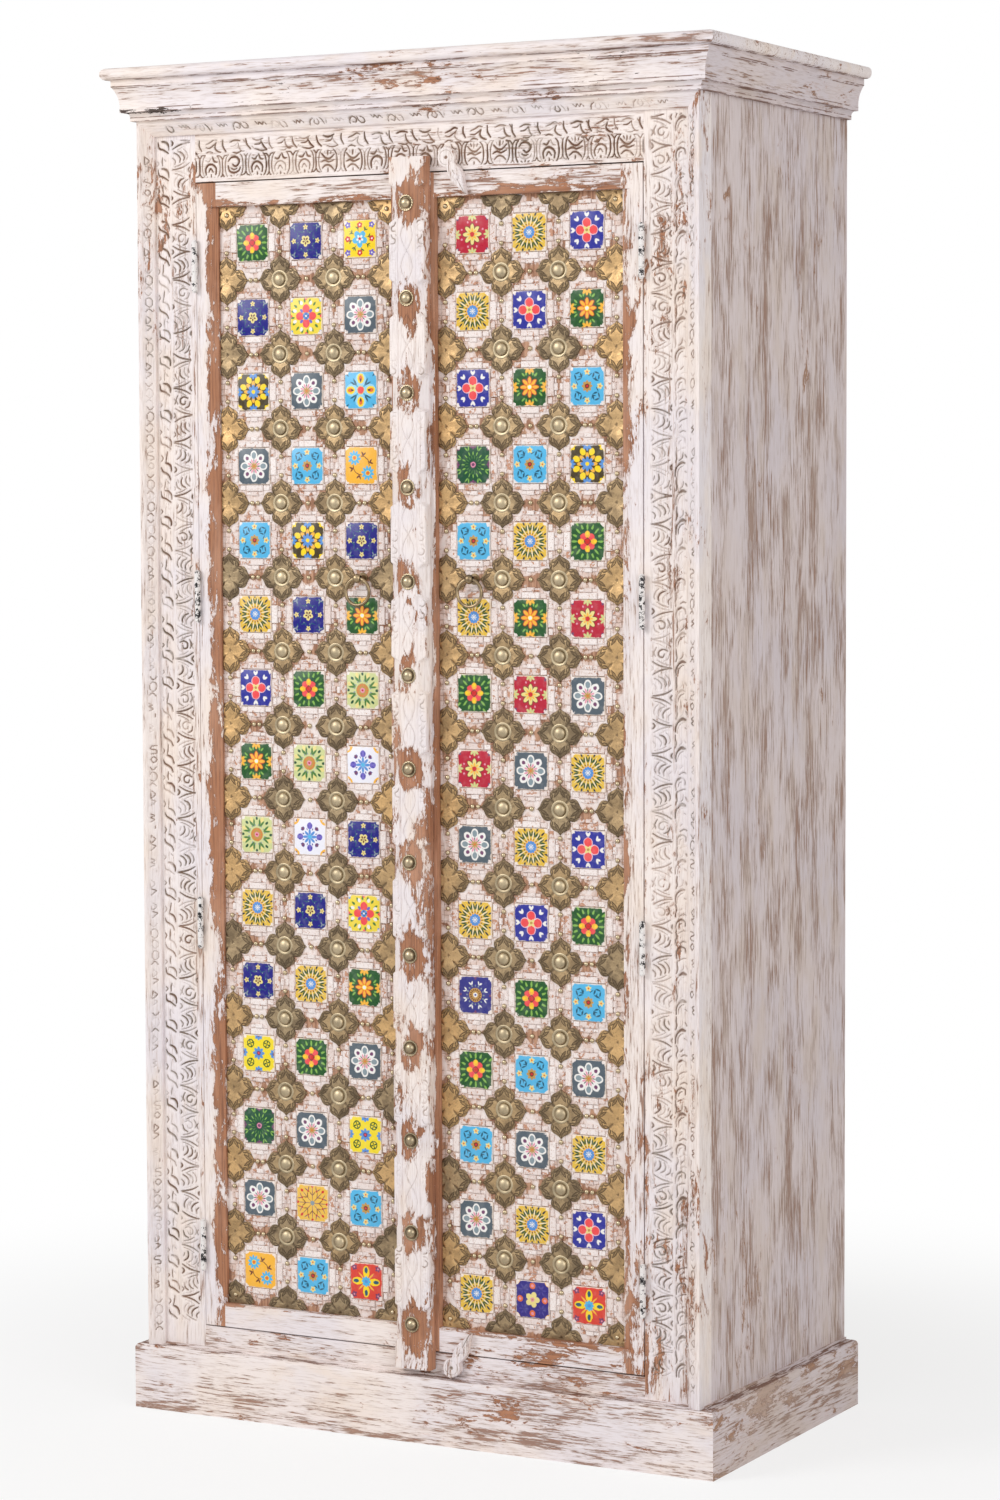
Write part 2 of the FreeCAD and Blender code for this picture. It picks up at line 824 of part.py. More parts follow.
def astragal():
    """A bevelled strip on the right door, relieved behind where it laps over the left door."""
    x0, x1 = astragal_shift - astragal_width / 2, astragal_shift + astragal_width / 2
    flat0, flat1 = astragal_shift - astragal_flat / 2, astragal_shift + astragal_flat / 2
    step = door_x0 + astragal_relief_start
    low, edge = door_face - astragal_relief, door_face - astragal_edge
    outline = [(x0, low), (x0, edge), (flat0, astragal_top()), (flat1, astragal_top()), (x1, edge),
               (x1, door_face), (step, door_face), (step, low)]
    return plan_prism(outline, opening_bottom - astragal_below_opening, opening_top + astragal_above_opening)


def astragal_studs():
    low = opening_bottom - astragal_below_opening + astragal_stud_end
    high = opening_top + astragal_above_opening - astragal_stud_end
    stud = lathe(domed_profile(astragal_stud_rim, astragal_stud_rim_height, astragal_stud_dome,
                               astragal_stud_dome_height), Vector(0, 0, 0), Vector(0, -1, 0))
    studs = []
    for index in range(astragal_stud_count):
        piece = stud.copy()
        z = low + (high - low) * index / (astragal_stud_count - 1)
        piece.translate(Vector(astragal_shift, astragal_top(), z))
        studs.append(piece)
    return studs


def turn_catch(pivot, upright):
    """A disc with a leaf-shaped tail that turns on a screw. upright is +1 where the tail points up."""
    tilt = math.radians(catch_tilt_deg)
    catch_back = door_face - catch_play

    def at(along, across):
        x = along * math.cos(tilt) - across * math.sin(tilt)
        z = along * math.sin(tilt) + across * math.cos(tilt)
        return Vector(pivot[0] + x, catch_back, pivot[1] + upright * z)

    def leaf_at(shares, side):
        return at(shares[0] * catch_leaf_length, side * shares[1] * catch_leaf_width / 2)

    root, tip = at(-catch_disc_offset, 0), at(catch_leaf_length, 0)
    edges = []
    for side in (1, -1):
        root_corner = at(-catch_disc_offset, side * catch_neck)
        neck, shoulder = at(-catch_neck_offset, side * catch_neck), leaf_at(catch_shoulder_shares, side)
        edges += [line(root, root_corner), line(root_corner, neck),
                  arc(neck, leaf_at(catch_belly_shares, side), shoulder), line(shoulder, tip)]
    forward = Vector(0, -catch_thickness, 0)
    leaf = Part.Face(Part.Wire(Part.__sortEdges__(edges))).extrude(forward)
    disc = cylinder(catch_disc_radius, root, Vector(0, -1, 0), catch_thickness)
    dimple = cylinder(catch_dimple_radius, root + forward, Vector(0, 1, 0), catch_dimple_depth)
    hole = cylinder(catch_screw_shank + catch_screw_play, at(0, 0) + Vector(0, over, 0), Vector(0, -1, 0),
                    catch_thickness + 2 * over)
    return leaf.fuse(disc).cut([dimple, hole]).removeSplitter()


def catch_screws():
    screws = []
    for x, z in catch_pivots():
        front = door_face - 2 * catch_play - catch_thickness
        shank = cylinder(catch_screw_shank, Vector(x, front, z), Vector(0, 1, 0),
                         door_face + catch_screw_length - front)
        head = lathe(domed_profile(catch_screw_head, catch_screw_rim_height, catch_screw_dome,
                                   catch_screw_dome_height), Vector(x, front, z), Vector(0, -1, 0))
        screws.append(shank.fuse(head).removeSplitter())
    return screws


def write(name, shape):
    """Writes one piece, or a group of like pieces, and says how many solids it has."""
    group = Part.makeCompound(shape) if isinstance(shape, list) else shape
    group.exportStep(os.path.join("parts", name + ".step"))
    state = "" if group.isValid() else " NOT VALID"
    print(f"{name}: {len(group.Solids)} solids, {group.Volume / 1000:.1f} cm3{state}")


def write_pair(stem, shape):
    """Writes a piece of the right side, and its mirror image for the left."""
    right = Part.makeCompound(shape) if isinstance(shape, list) else shape
    write("right_" + stem, right)
    write("left_" + stem, mirrored(right))


def main():
    os.makedirs("parts", exist_ok=True)
    write_pair("side_panel", side_panel())
    write("back_panel", back_panel())
    write("floor_board", box(-inside, inside, frame_back, back_inner, floor_under, floor_z))
    write("top_board", box(-inside, inside, frame_back, back_inner, top_board_z, crown_z))
    for index in range(shelf_count):
        write(f"shelf_{index + 1}", shelf(index))
    write("shelf_battens", shelf_battens())
    write("glue_blocks", glue_blocks())
    write("door_stops", door_stops())
    write_pair("frame_stile", stile())
    write("frame_top_rail", top_rail())
    write("frame_bottom_rail", bottom_rail())
    write_pair("frame_moulding", frame_moulding_side())
    write("top_frame_moulding", frame_moulding_top())
    write("crown_front", crown_front())
    write_pair("crown", crown_side())
    write("cornice_cap", cornice_cap())
    write("plinth_front", plinth_front())
    write_pair("plinth", plinth_side())
    write("plinth_back", box(-inside, inside, back_y - plinth_back_thickness, back_y, 0, floor_under))

    frame_leaves = [hinge_leaf(z, 1, 0) for z in hinge_levels()]
    write("hinge_frame_leaves", frame_leaves + [mirrored(leaf) for leaf in frame_leaves])
    pins = hinge_pins()
    write("hinge_pins", pins + [mirrored(pin) for pin in pins])
    screws = leaf_screws(1)
    write("hinge_frame_screws", screws + [mirrored(screw) for screw in screws])

    write_pair("door_hinge_stile", hinge_stile())
    write_pair("door_meeting_stile", meeting_stile())
    holes = [catch_screw_hole(pivot) for pivot in catch_pivots()]
    write("right_door_top_rail", door_top_rail().cut(holes[0]))
    write("left_door_top_rail", mirrored(door_top_rail()))
    write("right_door_bottom_rail", door_bottom_rail().cut(holes[1]))
    write("left_door_bottom_rail", mirrored(door_bottom_rail()))
    write_pair("door_panel", door_panel())
    write_pair("tiles", tiles())
    write_pair("stepped_blocks", stepped_blocks())
    write_pair("brass_flowers", brass_flowers())
    write_pair("brass_studs", brass_studs())
    write_pair("hinge_door_leaves", [hinge_leaf(z, -1, 1) for z in hinge_levels()])
    write_pair("hinge_door_screws", leaf_screws(-1))
    across = Vector(-2 * pull_place()[0], 0, 0)
    for stem, piece in (("ring_boss", ring_boss()), ("pull_ring", pull_ring())):
        write("right_" + stem, piece)
        piece.translate(across)
        write("left_" + stem, piece)

    write("astragal", astragal())
    write("astragal_studs", astragal_studs())
    top, bottom = catch_pivots()
    write("top_catch", turn_catch(top, -1))
    write("bottom_catch", turn_catch(bottom, 1))
    write("catch_screws", catch_screws())


main()
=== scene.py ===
"""Dresses the carved cabinet: carved frame, tiled and brass-studded doors, worn paint.

Lengths inside the piece functions are millimetres; meshes are stored in metres.
X runs to the right as seen from the front, Y to the back, Z up.
"""

import functools
import json
import math

import bpy
import numpy as np
from mathutils import Matrix, Vector


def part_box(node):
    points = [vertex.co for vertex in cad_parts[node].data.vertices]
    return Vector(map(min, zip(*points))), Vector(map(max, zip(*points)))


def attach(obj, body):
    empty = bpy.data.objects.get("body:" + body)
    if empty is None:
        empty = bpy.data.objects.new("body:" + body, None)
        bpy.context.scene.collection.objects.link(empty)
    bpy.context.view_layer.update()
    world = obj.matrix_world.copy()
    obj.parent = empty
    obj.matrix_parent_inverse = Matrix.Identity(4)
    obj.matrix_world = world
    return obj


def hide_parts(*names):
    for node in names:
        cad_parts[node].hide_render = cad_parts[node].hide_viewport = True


bl_info = {
    "name": "Carved cabinet",
    "version": (1, 0, 0),
    "blender": (4, 5, 0),
    "location": "View3D > Sidebar > Cabinet",
    "description": "Builds the carved and tiled surfaces of a tall painted cabinet",
    "category": "Object",
}

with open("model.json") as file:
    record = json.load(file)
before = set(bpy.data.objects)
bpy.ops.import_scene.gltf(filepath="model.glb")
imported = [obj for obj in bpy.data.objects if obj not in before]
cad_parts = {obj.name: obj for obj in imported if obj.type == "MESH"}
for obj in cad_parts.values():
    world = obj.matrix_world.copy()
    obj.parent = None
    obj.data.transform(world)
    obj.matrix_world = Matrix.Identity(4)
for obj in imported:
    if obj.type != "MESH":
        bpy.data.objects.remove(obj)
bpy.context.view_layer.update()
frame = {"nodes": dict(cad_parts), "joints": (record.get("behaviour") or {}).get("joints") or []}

MM = 0.001
SIDES = ((1, "right"), (-1, "left"))


def node_box(name):
    """Lowest and highest corner of a CAD node in millimetres."""
    low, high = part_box(name)
    return np.array(low) / MM, np.array(high) / MM


# Settings a user would change


def length(name, description, default):
    return bpy.props.FloatProperty(name=name, description=description, default=default, min=0, unit="LENGTH")


def colour(name, description, red, green, blue):
    return bpy.props.FloatVectorProperty(name=name, description=description, subtype="COLOR", size=3,
                                         min=0, max=1, default=linear(red, green, blue)[:3])


def linear(red, green, blue):
    """A colour given in 0 to 255, as the linear values that shaders take."""
    share = np.array([red, green, blue]) / 255
    value = np.where(share <= 0.04045, share / 12.92, ((share + 0.055) / 1.055) ** 2.4)
    return tuple(float(v) for v in value) + (1.0,)


class CabinetSizes(bpy.types.PropertyGroup):
    columns: bpy.props.IntProperty(name="Tile columns", description="Tiles across one door", default=3, min=1)
    rows: bpy.props.IntProperty(name="Tile rows", description="Tiles up one door", default=15, min=1)
    tile: length("Tile", "Side of a painted tile", 0.050)
    block_height: length("Block height", "How far the stepped blocks stand off the panel", 0.003)
    block_joint: length("Block joint", "Gap between a tile and its blocks", 0.0006)
    flower_reach_x: length("Flower reach across", "Centre of a brass flower to its side tip", 0.034)
    flower_reach_z: length("Flower reach up", "Centre of a brass flower to its upper tip", 0.0335)
    sheet: length("Brass sheet", "Thickness of a brass flower at its edge", 0.0012)
    hub_radius: length("Hub radius", "Radius of the beaded hub on a flower", 0.013)
    nail_radius: length("Nail radius", "Radius of a ball nail", 0.0035)
    carving_depth: length("Carving depth", "Deepest cut of the carving", 0.0028)
    vine_pitch: length("Vine pitch", "Repeat of the vine on the stiles", 0.037)
    rope_pitch: length("Leaf rope pitch", "Repeat of the leaf rope on the stiles", 0.0365)
    carving_step: length("Carving step", "Spacing of mesh points on carved faces", 0.00118)


class CabinetColours(bpy.types.PropertyGroup):
    paint: colour("Paint", "Worn white paint", 240, 229, 224)
    paint_warm: colour("Warm paint", "Yellowed paint", 235, 218, 204)
    paint_cool: colour("Cool paint", "Lilac shade of the paint", 231, 223, 226)
    # The side paints are greyer and darker than the front's. This is partly the side boards' own worn paint
    # and partly painted shade of the cabinet's sides.
    shaded_side_paint: colour("Side paint", "Greyer paint of the side boards", 218, 205, 204)
    shaded_side_warm: colour("Warm side paint", "Brownish shade of the side paint", 208, 191, 180)
    shaded_side_cool: colour("Cool side paint", "Grey shade of the side paint", 213, 202, 205)
    thin_paint: colour("Thin paint", "Paint that the wood shows through", 184, 158, 142)
    wood: colour("Bare wood", "Wood where the paint is gone", 172, 118, 86)
    side_wood: colour("Bare side wood", "Browner wood of the side boards", 172, 134, 108)
    wood_pale: colour("Pale bare wood", "Wood with a little paint left in it", 200, 154, 128)
    # wood_dark is also painted shade in the deepest cuts. groove and groove_olive are dirt and painted shade
    # in the carving, and groove also colours scratches.
    wood_dark: colour("Dark wood", "Deep grain and old dirt", 112, 74, 56)
    groove: colour("Grooves", "Dirt in the carving", 150, 120, 100)
    groove_olive: colour("Olive grooves", "Greyer dirt in the carving", 128, 114, 98)
    inside_wood: colour("Inside wood", "Unpainted boards inside and behind", 176, 142, 108)
    brass: colour("Brass", "Aged stamped brass", 162, 142, 112)
    brass_dark: colour("Dark brass", "Tarnish in the stamped lines", 84, 70, 54)
    # This brighter brass is random tone on most flowers. On the side columns' flowers it is a painted
    # reflection.
    brass_gold_and_sheen: colour("Gold brass", "Brighter brass on the edge flowers", 206, 168, 116)
    nail: colour("Nails", "Ball nails and domes", 190, 174, 144)
    hinge_metal: colour("Hinge metal", "Iron where the hinge paint is chipped", 44, 42, 44)


def sizes():
    return bpy.context.scene.cabinet_sizes


def colours():
    return bpy.context.scene.cabinet_colours


def tint(name):
    """One of the colour settings with an alpha of 1."""
    return tuple(getattr(colours(), name)) + (1.0,)


# Meshes from arrays


def grid_quads(rows, columns, wrap_rows=False, wrap_columns=False):
    """Corners of the quads between the points of a grid, numbered row by row."""
    i = np.arange(rows if wrap_rows else rows - 1)[:, None]
    j = np.arange(columns if wrap_columns else columns - 1)[None, :]
    i1, j1 = (i + 1) % rows, (j + 1) % columns
    corners = [i * columns + j, i1 * columns + j, i1 * columns + j1, i * columns + j1]
    return np.stack(np.broadcast_arrays(*corners), -1).reshape(-1, 4)


def add_object(name, data):
    """A new object in the scene."""
    made = bpy.data.objects.new(name, data)
    bpy.context.scene.collection.objects.link(made)
    return made


class Shell:
    """Gathers grids of points in millimetres, their faces and their values into one mesh."""

    def __init__(self):
        self.points, self.quads, self.others, self.uv = [], [], [], []
        self.values, self.slots, self.count = {}, [], 0

    def add(self, points, quads, others=(), uv=None, slot=0, **values):
        points = np.asarray(points, float).reshape(-1, 3)
        self.points.append(points)
        self.quads.append(np.asarray(quads) + self.count)
        self.others += [([k + self.count for k in face], slot) for face in others]
        self.uv.append(np.zeros((len(points), 2)) if uv is None else np.asarray(uv).reshape(-1, 2))
        self.slots.append(np.full(len(quads), slot))
        for name in set(self.values) | set(values):
            column = self.values.setdefault(name, [np.zeros(self.count)])
            value = np.asarray(values.get(name, 0.0), float).reshape(-1)
            column.append(np.broadcast_to(value, (len(points),)))
        self.count += len(points)

    def copies(self, points, quads, places, others=(), uv=None, slot=0, **values):
        """Adds one shape at many places. A value may be one number for the shape's points, or one a place."""
        points, places = np.asarray(points, float).reshape(-1, 3), np.asarray(places, float).reshape(-1, 3)
        size, many = len(points), len(places)
        placed = (places[:, None, :] + points[None]).reshape(-1, 3)
        shift = (np.arange(many) * size)[:, None, None]
        faces = (np.asarray(quads)[None] + shift).reshape(-1, 4)
        spread = {}
        for name, value in values.items():
            value = np.asarray(value, float)
            spread[name] = np.repeat(value, size) if len(value) == many else np.tile(value, many)
        more = [[k + n * size for k in face] for n in range(many) for face in others]
        if uv is not None:
            uv = np.tile(np.asarray(uv).reshape(-1, 2), (many, 1))
        self.add(placed, faces, more, uv, slot, **spread)

    def relief(self, front, back, depth):
        """Adds a carved face, closed to a flat back, with its depths as the cavity value."""
        points, quads, others, extra = slab(front, back)
        self.add(points, quads, others, cavity=np.concatenate([depth.ravel(), np.zeros(extra)]))

    def tube(self, points, depth):
        """Adds a closed profile carried along a line, with an end face at both ends."""
        around, rings = points.shape[:2]
        ends = [[k * rings for k in range(around)][::-1], [k * rings + rings - 1 for k in range(around)]]
        self.add(points, grid_quads(around, rings, wrap_rows=True), ends, cavity=depth)

    def build(self, name, materials, body, nodes, slot, mirror=False, sharp=40.0):
        """Makes the object, turned outwards, riding on its body and standing for its CAD nodes."""
        points = np.vstack(self.points) * MM
        if mirror:
            points[:, 0] *= -1
        quads = np.vstack(self.quads)
        a, b, c, d = (points[quads[:, k]] for k in range(4))
        volume = (np.einsum("ij,ij->i", a, np.cross(b, c)) + np.einsum("ij,ij->i", a, np.cross(c, d))).sum()
        for face, _ in self.others:
            ring = points[face]
            first = ring[:1].repeat(len(face) - 2, 0)
            volume += np.einsum("ij,ij->i", np.cross(ring[1:-1], ring[2:]), first).sum()
        faces = quads.tolist() + [face for face, _ in self.others]
        if volume < 0:
            faces = [face[::-1] for face in faces]
        mesh = bpy.data.meshes.new(name)
        mesh.from_pydata(points.tolist(), [], faces)
        for material in materials:
            mesh.materials.append(material)
        slots = np.concatenate([np.concatenate(self.slots), [s for _, s in self.others]]).astype(np.int32)
        mesh.polygons.foreach_set("material_index", slots)
        corner = np.empty(len(mesh.loops), np.int32)
        mesh.loops.foreach_get("vertex_index", corner)
        uv = np.vstack(self.uv)[corner].astype(np.float32).ravel()
        mesh.uv_layers.new(name="UVMap").data.foreach_set("uv", uv)
        for key, columns in self.values.items():
            attribute = mesh.attributes.new(key, "FLOAT", "POINT")
            attribute.data.foreach_set("value", np.concatenate(columns).astype(np.float32))
        mesh.shade_smooth()
        mesh.set_sharp_from_angle(angle=math.radians(sharp))
        mesh.update()
        piece = add_object(name, mesh)
        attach(piece, body)
        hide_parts(*nodes)
        return piece


def slab(front, back):
    """Closes a grid of points that faces forward with straight walls and a flat back at y = back.

    The front is P(i, j) with i to the right and j up. Walls join its rim to the same rim at the back. The
    back is long quads from the left rim to the right one. Its first and last face take the end rows' points.
    """
    columns, rows = front.shape[:2]
    i, j = np.arange(columns), np.arange(rows)
    rim = np.concatenate([i * rows, (columns - 1) * rows + j[1:], i[-2::-1] * rows + rows - 1, j[-2:0:-1]])
    points = front.reshape(-1, 3)
    behind = points[rim].copy()
    behind[:, 1] = back
    start = len(points)
    k = np.arange(len(rim))
    k1 = (k + 1) % len(rim)
    walls = np.stack([rim[k1], rim[k], start + k, start + k1], -1)
    left = np.concatenate([[0], len(rim) - j[1:-1], [len(rim) - (rows - 1)]]) + start
    right = columns - 1 + j + start
    across = np.stack([left[1:rows - 2], left[2:rows - 1], right[2:rows - 1], right[1:rows - 2]], -1)
    foot = [left[0], left[1], right[1], right[0]] + [start + v for v in range(columns - 2, 0, -1)]
    upper = [start + v for v in range(len(rim) - (rows - 1) - 1, right[-1] - start, -1)]
    head = [left[-2], left[-1]] + upper + [right[-1], right[-2]]
    quads = np.vstack([grid_quads(columns, rows), walls, across])
    return np.vstack([points, behind]), quads, [[int(v) for v in foot], [int(v) for v in head]], len(behind)


def end_fans(rings, around):
    """Triangles from the first and the last ring to two points, which are numbered after the rings'."""
    first, tail = rings * around, (rings - 1) * around
    after = [(k + 1) % around for k in range(around)]
    fans = [[first, k, after[k]] for k in range(around)]
    return fans + [[first + 1, tail + after[k], tail + k] for k in range(around)]


def lathe(profile, around, ripple=None):
    """A profile of (radius, height) turned about Y, its height pointing forward.

    A point is (r cos a, -h, r sin a); ripple(a, r, h) may change r and h with the angle. The first and last
    profile points lie on the axis, and are one vertex each.
    """
    profile = np.asarray(profile, float)
    angle = np.arange(around) * 2 * math.pi / around
    radius, height = (profile[1:-1, k, None] + 0 * angle for k in (0, 1))
    if ripple:
        radius, height = ripple(angle, radius, height)
    body = np.stack([radius * np.cos(angle), -height, radius * np.sin(angle)], -1)
    rings = len(profile) - 2
    points = np.vstack([body.reshape(-1, 3), [[0, -profile[0, 1], 0]], [[0, -profile[-1, 1], 0]]])
    return points, grid_quads(rings, around, wrap_columns=True), end_fans(rings, around)


def dome(radius, foot, rise, angles):
    """Profile points of a dome at angles from its axis, (r sin a, foot + rise cos a), and its top."""
    return [(radius * math.sin(a), foot + rise * math.cos(a)) for a in angles] + [(0, foot + rise)]


def at_depth(places, y):
    """Places given by x and z, as points at one y."""
    return np.stack([places[:, 0], 0 * places[:, 0] + y, places[:, 1]], -1)


# Carving


def smooth_line(points, per_run=9):
    """A cubic between each two points, whose slope at a point is half the chord of its neighbours."""
    p = np.array(points, float)
    p = np.vstack([2 * p[0] - p[1], p, 2 * p[-1] - p[-2]])
    a, b, c, d = (p[k:len(p) - 3 + k][:, None, :] for k in range(4))
    t = np.linspace(0, 1, per_run, endpoint=False)[None, :, None]
    square, cube = 2 * a - 5 * b + 4 * c - d, 3 * b - a - 3 * c + d
    run = 0.5 * (2 * b + (c - a) * t + square * t ** 2 + cube * t ** 3)
    return np.vstack([run.reshape(-1, 2), p[-2:-1]])


def line_distance(u, v, line):
    """Distance of each point (u, v) from a line of straight runs, and where along it the nearest point is."""
    a, run = line[:-1], np.diff(line, axis=0)
    pu, pv = u[:, None] - a[:, 0], v[:, None] - a[:, 1]
    t = np.clip((pu * run[:, 0] + pv * run[:, 1]) / (run ** 2).sum(1), 0, 1)
    gap = np.hypot(pu - t * run[:, 0], pv - t * run[:, 1])
    nearest = gap.argmin(1)
    return gap.min(1), (nearest + t[np.arange(len(u)), nearest]) / len(run)


def cut(u, v, strokes, force, copy):
    """Depth from 0 to 1 of gouge strokes. A stroke is a line, a half width and a depth.

    Across a stroke the depth is d (1 - (gap / w)^2), and w swells from 0.85 at its ends to 1.5 in its middle.
    Beside it the wood is rounded down to the cut by 0.34 d exp(-(gap / 2.7 w)^2). force, by copy and stroke,
    scales d.
    """
    depth = np.zeros(len(u))
    for number, (points, width, deep) in enumerate(strokes):
        line = smooth_line(points, 6)
        (low_u, low_v), (high_u, high_v) = line.min(0) - 4 * width, line.max(0) + 4 * width
        near = np.flatnonzero((u > low_u) & (u < high_u) & (v > low_v) & (v < high_v))
        if len(near):
            gap, along = line_distance(u[near], v[near], line)
            reach = width * (0.85 + 0.65 * np.sin(math.pi * along))
            shoulder = 0.34 * np.exp(-(gap / (2.7 * width)) ** 2)
            found = deep * force[copy[near], number] * np.maximum(1 - (gap / reach) ** 2, shoulder)
            depth[near] = np.maximum(depth[near], found)
    return depth


def band(across, along, width, pitch, motifs, seed, flip=False, wobble=0.9):
    """Motifs one after the other along a strip, also where their strokes reach into the next copy.

    across runs from 0 to width over the strip and along is the distance down it. Each copy is one of the
    motifs, shifted and leant a little, with some strokes cut lighter, as carving by hand leaves it. With flip
    every second copy is mirrored across.
    """
    inside = (across > 0) & (across < width)
    depth = np.zeros(across.shape)
    u, v = across[inside], along[inside]
    copy = np.floor(v / pitch).astype(int)
    start = copy.min() - 1
    random = np.random.default_rng(seed)
    count = copy.max() - start + 2
    shift = random.uniform(-wobble, wobble, (count, 2))
    lean = random.uniform(-0.08, 0.08, count)
    chosen = random.integers(0, len(motifs), count)
    force = np.minimum(random.uniform(0.55, 1.45, (count, max(len(motif) for motif in motifs))), 1.15)
    found = np.zeros(len(u))
    for step in (-1, 0, 1):
        k = copy + step - start
        local = v - (copy + step) * pitch
        side = np.where(k % 2 == 1, width - u, u) if flip else u
        side = side + shift[k, 0] + (local - pitch / 2) * lean[k]
        for kind, strokes in enumerate(motifs):
            here = np.flatnonzero(chosen[k] == kind)
            if len(here):
                depths = cut(side[here], local[here] + shift[k[here], 1], strokes, force, k[here])
                found[here] = np.maximum(found[here], depths)
    edge = np.clip(np.minimum(u, width - u) / 1.2, 0, 1)
    depth[inside] = found * edge
    return np.minimum(depth, 1.15)


VINE_WIDTH, ROPE_WIDTH = 32.0, 21.0
VINE_ARMS = [
    ([(31, 0.6), (22, 1.6), (12, 4.2), (3, 8.8)], 1.0, 1.0),
    ([(1, 36.4), (10, 35.4), (20, 32.8), (29, 28.2)], 1.0, 1.0),
    ([(27, 4.4), (18, 6.8), (9.5, 11.0)], 0.8, 0.7),
    ([(5, 32.6), (14, 30.2), (22.5, 26.0)], 0.8, 0.7),
    ([(31.2, 32.8), (28.4, 36.4), (31, 40.2)], 1.4, 1.0),
]
VINE = [VINE_ARMS + [
    ([(27.6, 23.6), (21.5, 20.5), (17.6, 15.5), (18.6, 10)], 1.1, 0.95),
    ([(20.5, 25.2), (14, 22.5), (10.8, 17), (12.2, 12.6)], 1.2, 1.0),
    ([(11.5, 28.2), (7, 24), (5, 18), (6.6, 14)], 1.0, 0.85),
    ([(29.6, 16.5), (25.6, 12.6), (26.4, 8)], 1.0, 0.85),
    ([(14, 18.6), (16.4, 22.4)], 0.8, 0.6),
], VINE_ARMS + [
    ([(24.5, 22.6), (18, 24.6), (12, 21.4), (12.6, 15.6), (18.2, 14.4), (20, 18.4)], 1.15, 1.0),
    ([(27.6, 18.6), (25.4, 12.2), (19.4, 9.2)], 1.1, 0.9),
    ([(8.4, 27), (5.4, 20.6), (7.6, 15)], 1.0, 0.9),
    ([(2.4, 14.4), (4.4, 18.2), (2.2, 22)], 1.0, 0.85),
    ([(15.4, 27.6), (19.6, 26.8)], 0.8, 0.6),
], VINE_ARMS + [
    ([(5.5, 14), (10.6, 17.6), (12.6, 22.4), (11.4, 27.6)], 1.2, 1.0),
    ([(12, 12), (17.8, 15), (20, 20.4), (18.4, 25.6)], 1.15, 0.95),
    ([(20, 9.4), (25.4, 12.8), (27.6, 19.4)], 1.1, 0.95),
    ([(24, 18.6), (25.2, 23)], 0.9, 0.8),
    ([(4.8, 20.5), (6.4, 26)], 0.9, 0.8),
    ([(30.6, 14), (28.2, 10.8), (30.4, 7.6)], 1.0, 0.85),
]]
ROPE = [[
    ([(2.6, 3.5), (2.3, 10), (4.6, 16), (9.5, 19.6), (15, 20.6)], 1.0, 1.0),
    ([(6.5, 18.8), (11, 21.4), (15.6, 20.2)], 1.9, 1.15),
    ([(5.6, 3.0), (6.0, 9.6), (9.0, 14.6), (14, 17.0)], 0.75, 0.85),
    ([(15, 10.6), (18.6, 8.4)], 0.8, 0.7),
    ([(2.2, 21), (3.6, 26.5), (2.6, 32), (2.8, 38)], 0.95, 0.95),
    ([(7.4, 24.0), (11.6, 27.4), (12.4, 33.6)], 0.9, 0.85),
    ([(15.5, 31.4), (18.2, 27)], 0.9, 0.8),
], [
    ([(3.2, 2.5), (2.6, 9.4), (5, 15.4), (10, 18), (15.4, 16), (16.2, 10)], 1.0, 1.0),
    ([(5.4, -0.5), (10, 2.4), (17, 4)], 0.8, 0.75),
    ([(4.8, 15.6), (9.8, 18.4)], 1.6, 1.0),
    ([(6.4, 6.0), (7.6, 11.4), (11.4, 13.4)], 0.8, 0.85),
    ([(2.8, 20), (2.2, 26), (4.2, 31), (2.6, 37)], 0.95, 0.95),
    ([(8.2, 22.6), (13.4, 25.4), (17.8, 24)], 0.9, 0.85),
    ([(8.4, 29), (12.4, 33)], 0.9, 0.8),
]]
HOOK_PITCH = 36.6
HOOK = [[
    ([(10.8, 36.4), (11.5, 29), (12.8, 21.8)], 0.95, 0.85),
    ([(12.8, 21.8), (8.8, 20.4), (4.7, 17.6), (1.8, 10.8)], 1.4, 1.15),
    ([(19.4, 15.0), (16.9, 10.2), (11.5, 7.4), (6.6, 4.4), (3.6, -1.0)], 1.3, 1.1),
    ([(19.8, 31.6), (17.4, 27.8), (19.8, 23.4)], 1.0, 0.8),
], [
    ([(10.8, 35.6), (12.0, 30), (11.5, 24.4)], 0.95, 0.85),
    ([(13.2, 20.4), (6.6, 18.8), (2.4, 13.6), (2.0, 8.6)], 1.5, 1.15),
    ([(19.6, 19), (18.0, 11.4), (11.5, 8.9), (3.4, 4.0)], 1.2, 1.1),
    ([(19.8, 30.4), (17.2, 27.4), (20.2, 24)], 1.0, 0.8),
    ([(8.4, 33), (5.4, 29.6)], 0.8, 0.6),
]]
STROKE_HEIGHT, STROKE_PITCH = 22.0, 37.0
